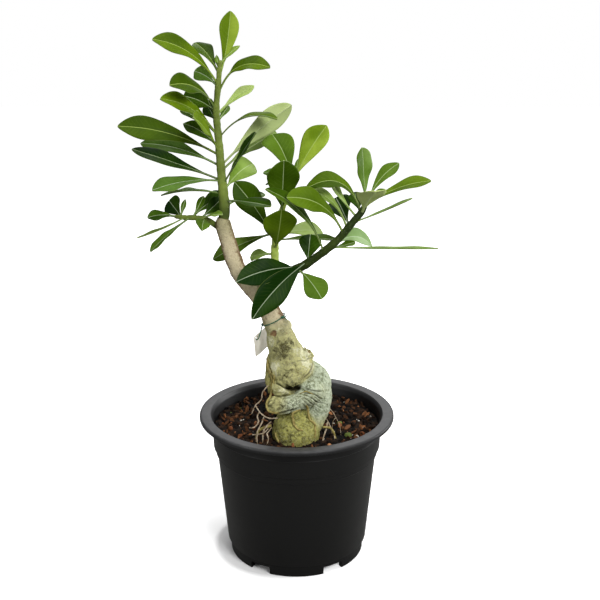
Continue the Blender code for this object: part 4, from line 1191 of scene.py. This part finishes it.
# Roots: strands that lie on the skin, and loose ones that run down into the soil
roots = {
    "colours": {                     # light, dark
        "yellowRoot": ((0.36, 0.30, 0.09), (0.19, 0.14, 0.035)),
        "paleRoot": ((0.52, 0.43, 0.31), (0.20, 0.13, 0.065)),
    },
    "roughness": {                   # size, height and depth of the unevenness
        "onSkin": (1.8, 0.25, 1), "loose": (1.1, 0.6, 1), "solid": (2.0, 0.5, 1),
    },
    "onSkin": [                      # x, y, z, radius
        [(-22, -12, 163, 0.45), (-21.5, -20, 157, 0.7), (-19.5, -25, 150, 0.75), (-17.5, -29, 143, 0.6)],
        [(-21, -16, 160, 0.35), (-18, -26, 154, 0.5), (-16.5, -29, 148, 0.45)],
        [(-19, -27, 143, 0.65), (-22.5, -33, 140.5, 0.85), (-24, -35, 136, 0.85), (-21.5, -38, 131, 0.85),
         (-17, -40, 128.5, 0.8), (-12.5, -41, 128, 0.45)],
        [(5, -41, 129, 0.4), (2, -43, 129.5, 0.75), (-1, -44, 128, 0.9), (-2, -45, 125, 0.9),
         (-0.5, -45, 122, 0.8), (3, -46, 120, 0.7), (6.5, -46, 119, 0.4)],
        [(8, -38, 134, 0.45), (11, -38, 130, 0.75), (14.5, -37, 125, 0.85), (16.3, -36, 120.5, 0.8),
         (15.7, -37, 115.5, 0.75), (13.5, -38, 109, 0.6)],
        [(1.5, -32, 145, 0.3), (6, -32, 144.5, 0.4), (10, -31, 142.5, 0.4), (13, -29, 140.5, 0.25)],
        [(-19, -37, 113, 0.6), (-18.5, -39, 110, 0.8), (-17, -42, 106, 0.8)],
    ],
    "loose": [
        [(-20.5, -28.5, 147.5, 0.3), (-22, -28, 146.5, 0.45), (-25.5, -28, 141.5, 0.5),
         (-26.5, -28, 136, 0.5), (-31, -28, 131, 0.45), (-34, -28, 124, 0.3)],
        [(-31, -28, 131, 0.4), (-26, -34, 126.5, 0.55), (-20, -38, 125, 0.55), (-14, -41, 126.5, 0.4)],
        [(-27.5, -31, 127.5, 0.5), (-29.5, -32, 124, 0.65), (-28.5, -33, 120.5, 0.65),
         (-30.5, -34, 117, 0.55), (-33, -35, 116, 0.4), (-35.5, -36, 116.5, 0.25)],
        [(-24.5, -32, 123.5, 0.55), (-26, -33, 119.5, 0.6), (-28.5, -35, 115, 0.55), (-30, -36, 110, 0.45),
         (-30.5, -37, 104, 0.35)],
        [(-19, -35, 121, 0.6), (-22.5, -36, 117.5, 0.7), (-25, -37, 113, 0.65), (-25.5, -38, 104, 0.45)],
        [(-33, -40, 112.5, 0.3), (-28.5, -41, 113.5, 0.5), (-24.5, -41, 114.5, 0.45), (-21, -40, 117.5, 0.4)],
        [(-29, -41, 116.5, 0.45), (-29.3, -42, 112, 0.5), (-29, -43, 105, 0.4)],
        [(-18.5, -37, 117, 0.4), (-22, -39, 113, 0.6), (-21, -41, 110, 0.55), (-22.5, -42, 104, 0.4)],
        [(22, -22, 119, 0.3), (24.5, -24, 115, 0.4), (26.5, -27, 110.5, 0.4), (28.5, -30, 107.5, 0.35),
         (29, -32, 103.5, 0.3)],
        [(23.5, -23, 116, 0.4), (22.5, -28, 112, 0.6), (20.5, -33, 108, 0.55), (19.5, -36, 104, 0.4)],
        [(24.5, -14, 124, 0.25), (28, -17, 120.5, 0.28), (30.5, -20, 117, 0.25), (33, -22, 112, 0.2),
         (34, -23, 104, 0.2)],
        [(30, -20, 117.5, 0.2), (28, -21, 115.5, 0.2), (27, -22, 110, 0.2), (26.5, -23, 104, 0.2)],
    ],
    "solid": {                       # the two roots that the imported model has
        "root_left": [(-19.0, -31, 116, 1.2), (-25, -32, 114.5, 1.1), (-29, -31, 111, 1.0),
                      (-31, -31, 105, 0.8), (-32, -31, 101, 0.7)],
        "root_right": [(19.8, -29, 114, 0.9), (24.5, -29, 113.5, 0.8), (27.5, -29, 111, 0.75),
                       (29.5, -30, 105, 0.7), (30, -30, 101, 0.6)],
    },
}


def makeStrands(tree):
    laid = [tube("strand", onSkin(tree, rows, 0.45, calm=2), 4) for rows in roots["onSkin"]]
    laid = joinAll(laid, "skinRoots")
    loose = [tube("strand", smoothRoute([(*row[:3], row[3] * 0.85) for row in rows], 0.7), 4)
             for rows in roots["loose"]]
    loose = joinAll(loose, "looseRoots")
    for piece, kind in ((laid, "onSkin"), (loose, "loose")):
        roughen(piece, piece.name + "Skin", *roots["roughness"][kind])
        softShade(piece)
    return laid, loose


def makeRoot(name):
    piece = tube(pieceName(name), smoothRoute(roots["solid"][name], 0.8), 5)
    roughen(piece, name + "Skin", *roots["roughness"]["solid"])
    softShade(piece)
    return piece


def rootFinish(name):
    light, dark = roots["colours"][name]
    finish = Finish(name)
    spot = finish.place()
    mottle = finish.noise(spot, 2.2, 3.0, 0.6)
    fine = finish.noise(spot, 0.4, 2.0, 0.6)
    colour = finish.mix(finish.fade(mottle, 0.35, 0.7), light, dark)
    return finish.done(BaseColor=colour, Roughness=0.6 + 0.15 * fine, SpecularIORLevel=0.35,
                       Normal=finish.bump(fine, 0.12, 0.6))


# Tag: a thin blank card with round corners, hung by a green coated wire twisted round the neck
tag = {
    "size": (20.0, 0.6, 17.0),
    "corner": 1.6,
    "centre": (-27.0, -2.7, 173.4),
    "turn": (0.0, -8.0, 63.5),
    "hole": (-7.5, 6.0),
    "holeRadius": 1.2,
    "edge": 0.12,                    # rounding of the card's edges
    "cuts": 16,                      # strips across the card, so that it can bow
    "curl": 0.35,                    # how far the card's ends bow out of flat
    "wireRadius": 0.42,
    "ringCentre": (-17.4, -8.0, 192.6),
    "ringAxis": (-0.44, 0.05, 0.9),
    "ringRadius": 9.55,
    "ringSpan": (-190, 150),
    # turn on the ring, radius and length of each knot: at the right, and where the wire leaves for the tag
    "knots": [(-38, 1.15, 2.8), (-190, 1.0, 2.2)],
    "knotTurns": 3,
    "knotPoints": 40,
    "knotSpread": 0.62,              # the coil's radius as a share of the knot's
    "knotWire": 0.9,                 # and its wire's as a share of the wire's
    "threaded": (1.5, -2.0),         # where the wire's end lies to either side of the card
    "cardColours": ((0.80, 0.77, 0.70), (0.58, 0.52, 0.42)),     # clean, stained
    "tieColours": ((0.022, 0.105, 0.05), (0.10, 0.24, 0.14)),    # fresh, worn
    "ends": [                        # loose wire ends that stick out of the knots
        [(-9.4, -13.6, 196.2, 0.38), (-8.2, -14.4, 197.0, 0.38), (-7.5, -14.6, 198.3, 0.34)],
        [(-9.4, -13.6, 196.2, 0.38), (-8.0, -14.0, 195.4, 0.38), (-7.4, -13.8, 194.3, 0.34)],
    ],
}


def tagPlace():
    turn = Euler([math.radians(a) for a in tag["turn"]])
    return Matrix.Translation(tag["centre"]) @ turn.to_matrix().to_4x4()


def makeTag():
    length, thickness, height = tag["size"]
    bpy.ops.mesh.primitive_cube_add(size=1.0)
    card = bpy.context.object
    card.name = "blankTag"
    card.scale = (length, thickness, height)
    fixTransform(card)
    openMesh(card, mode="EDGE")      # deselects all, so that only the four corner edges are bevelled
    closeMesh()
    for edge in card.data.edges:
        a, b = (card.data.vertices[i].co for i in edge.vertices)
        edge.select = abs(a.y - b.y) > thickness / 2
    bpy.ops.object.mode_set(mode="EDIT")
    bpy.ops.mesh.bevel(offset=tag["corner"], segments=6)
    closeMesh()
    across, up = tag["hole"]
    bpy.ops.mesh.primitive_cylinder_add(vertices=24, radius=tag["holeRadius"], depth=4,
                                        location=(across, 0, up), rotation=(math.pi / 2, 0, 0))
    punch = bpy.context.object
    fixTransform(punch)
    cutAway(card, punch)
    modify(card, "BEVEL", width=tag["edge"], segments=2, limit_method="ANGLE", angle_limit=math.radians(50))
    openMesh(card, "SELECT")
    for i in range(1, tag["cuts"]):
        bpy.ops.mesh.select_all(action="SELECT")
        bpy.ops.mesh.bisect(plane_co=(length * (i / tag["cuts"] - 0.5), 0, 0), plane_no=(1, 0, 0))
    closeMesh()
    places = points(card)
    places[:, 1] += tag["curl"] * ((2 * places[:, 0] / length) ** 2 - 0.3)
    movePoints(card, places)
    card.data.transform(tagPlace())
    smooth(card, 30)
    return card


def makeWire():
    centre, axis = Vector(tag["ringCentre"]), Vector(tag["ringAxis"]).normalized()
    right = (Vector((1, 0, 0)) - axis * axis.x).normalized()
    back = axis.cross(right)

    def onRing(degrees):
        angle = math.radians(degrees)
        return centre + (right * math.cos(angle) + back * math.sin(angle)) * tag["ringRadius"]

    first, last = tag["ringSpan"]
    ring = [(*onRing(a), tag["wireRadius"]) for a in range(first, last + 1, 10)]
    across, up = tag["hole"]
    tail = [(*(tagPlace() @ Vector((across, through, up))), tag["wireRadius"]) for through in tag["threaded"]]
    parts = [tube("wire", smoothRoute(tail + ring, 1.0), 4)]
    for degrees, radius, height in tag["knots"]:
        heart, ahead = onRing(degrees), (onRing(degrees + 4) - onRing(degrees - 4)).normalized()
        side = ahead.cross(axis).normalized()
        coil, spread = [], radius * tag["knotSpread"]
        for i in range(tag["knotPoints"]):
            share = i / (tag["knotPoints"] - 1)
            turn = share * tag["knotTurns"] * 2 * math.pi
            spoke = (side * math.cos(turn) + axis * math.sin(turn)) * spread
            spot = heart + ahead * height * 0.5 * (share - 0.5) + spoke
            coil.append((*spot, tag["wireRadius"] * tag["knotWire"]))
        parts.append(tube("coil", smoothRoute(coil, 0.6), 3))
    parts += [tube("end", smoothRoute(rows, 0.6), 3) for rows in tag["ends"]]
    piece = joinAll(parts, "tagTie")
    softShade(piece)
    return piece


def cardFinish():
    finish = Finish("tagCard")
    spot = finish.place()
    fibre = finish.noise(spot, 0.35, 3.0, 0.6)
    stain = finish.noise(spot, 5.0, 4.0, 0.6)
    colour = finish.mix(finish.fade(stain, 0.4, 0.75) * 0.6, *tag["cardColours"])
    return finish.done(BaseColor=colour, Roughness=0.5 + 0.1 * fibre, SpecularIORLevel=0.4,
                       Normal=finish.bump(fibre, 0.05, 0.4))


def tieFinish():
    finish = Finish("tieGreen")
    spot = finish.place()
    worn = finish.noise(spot, 1.2, 3.0, 0.6)
    colour = finish.mix(finish.fade(worn, 0.5, 0.75) * 0.5, *tag["tieColours"])
    return finish.done(BaseColor=colour, Roughness=0.35 + 0.2 * worn, SpecularIORLevel=0.5,
                       Normal=finish.bump(worn, 0.05, 0.4))


# Studio: a wide pale floor and surround that light the piece only a little, and soft lamps
studio = {
    "floor": 8.0,                    # metres from here on
    "floorPale": (0.90, 0.90, 0.90),
    "floorBounce": (0.26, 0.26, 0.25),    # the shade that the piece itself is lit by
    "glow": ((0.050, 0.057, 0.40), (0.057, 0.15, 0.50)),     # from, to, how much the floor brightens there
    "surround": (0.06, 0.17),        # in front and behind
    "lamps": {                       # place, size, watts, what it points at
        "key": ((0.62, -1.05, 0.98), 0.6, 17.0, (0.0, 0.0, 0.2)),
        "top": ((-0.05, 0.0, 1.4), 1.1, 8.5, (0.0, 0.0, 0.2)),
        "fill": ((-1.1, -0.8, 0.55), 0.8, 4.5, (0.0, 0.0, 0.2)),
        "back": ((0.1, 1.1, 0.9), 1.0, 5.0, (0.0, 0.0, 0.2)),
        "edge": ((1.15, 0.45, 0.45), 0.7, 9.0, (0.0, 0.0, 0.12)),
    },
    "lens": 57.0,
    "eye": (0.0152, -0.6915, 0.4097),
    "tilt": 16.44,                   # degrees the camera looks down
}


def makeFloor():
    bpy.ops.mesh.primitive_plane_add(size=studio["floor"], location=(0, 0, 0))
    floor = bpy.context.object
    floor.name = "floor"
    finish = Finish("paleFloor")
    seen = finish.node("ShaderNodeLightPath", out="Is Camera Ray")
    away = finish.node("ShaderNodeVectorMath", {"operation": "LENGTH"},
                       {0: finish.node("ShaderNodeTexCoord", out="Object")}, out="Value")
    glow = sum(finish.fade(away, first, last) * share for first, last, share in studio["glow"])
    floor.data.materials.append(finish.done(
        BaseColor=finish.mix(seen, studio["floorBounce"], studio["floorPale"]),
        Roughness=0.9, SpecularIORLevel=0.0,
        EmissionColor=finish.mix(seen * glow, (0.0, 0.0, 0.0), (1.0, 1.0, 1.0)), EmissionStrength=1.0))


def makeSurround():
    bpy.context.scene.world = bpy.data.worlds.new("surround")
    sky = Finish(bpy.context.scene.world)
    background = sky.tree.nodes["Background"]
    x, y, z = sky.split(sky.node("ShaderNodeTexCoord", out="Generated"))
    strength = sky.fade(y + z * 0.6, -0.9, 0.5, *studio["surround"])
    seen = sky.node("ShaderNodeLightPath", out="Is Camera Ray")
    sky.feed(background.inputs["Color"], (1.0, 1.0, 1.0))
    sky.feed(background.inputs["Strength"], seen + (1 - seen) * strength)


def makeLamps():
    for name, (place, size, watts, target) in studio["lamps"].items():
        bpy.ops.object.light_add(type="AREA", location=place)
        lamp = bpy.context.object
        lamp.name = name
        lamp.data.shape = "DISK"
        lamp.data.size = size
        lamp.data.energy = watts
        lamp.rotation_euler = (Vector(target) - Vector(place)).to_track_quat("-Z", "Y").to_euler()


def makeCamera():
    bpy.ops.object.camera_add(location=studio["eye"], rotation=(math.radians(90 - studio["tilt"]), 0, 0))
    camera = bpy.context.object
    camera.data.lens = studio["lens"]
    camera.data.sensor_width = 36.0
    camera.data.clip_start, camera.data.clip_end = 0.01, 50.0
    bpy.context.scene.camera = camera


makeCamera()
makeFloor()
makeSurround()
makeLamps()
bpy.context.scene.view_settings.view_transform = "Standard"
print("studio ready")

settle(makePot(), [plasticFinish()], ["pot"])
print("pot made")

trunk = makeCaudex()
skin = skinTree(trunk)
strands, fineRoots = makeStrands(skin)
settle(trunk, [skinFinish()], ["caudex"])
yellowRoot, paleRoot = rootFinish("yellowRoot"), rootFinish("paleRoot")
settle(strands, [yellowRoot])
settle(fineRoots, [paleRoot])
for name in roots["solid"]:
    settle(makeRoot(name), [yellowRoot], [name])
print("caudex and roots made")

bed = makeSoilBed()
ground = skinTree(bed)
for name in loosePieces:
    settle(scatter(name, ground), [chipFinish(name)])
settle(bed, [mixFinish()], ["soil"])
print("soil made")

green = shootFinish()
for name in stems:
    settle(makeStem(name), [green], [name])
upper, lower = leafFinish("leafUpper", False), leafFinish("leafUnder", True)
for name, row in leaves.items():
    leaf = makeLeaf(pieceName(name), [upper, lower], *row)
    settle(leaf, [upper, lower], [] if name.startswith("bud") else [name])
print(len(leaves), "leaves made")

settle(makeTag(), [cardFinish()], ["plant_tag"])
settle(makeWire(), [tieFinish()], ["tag_wire"])
print("tag and tie made")

bpy.context.view_layer.update()
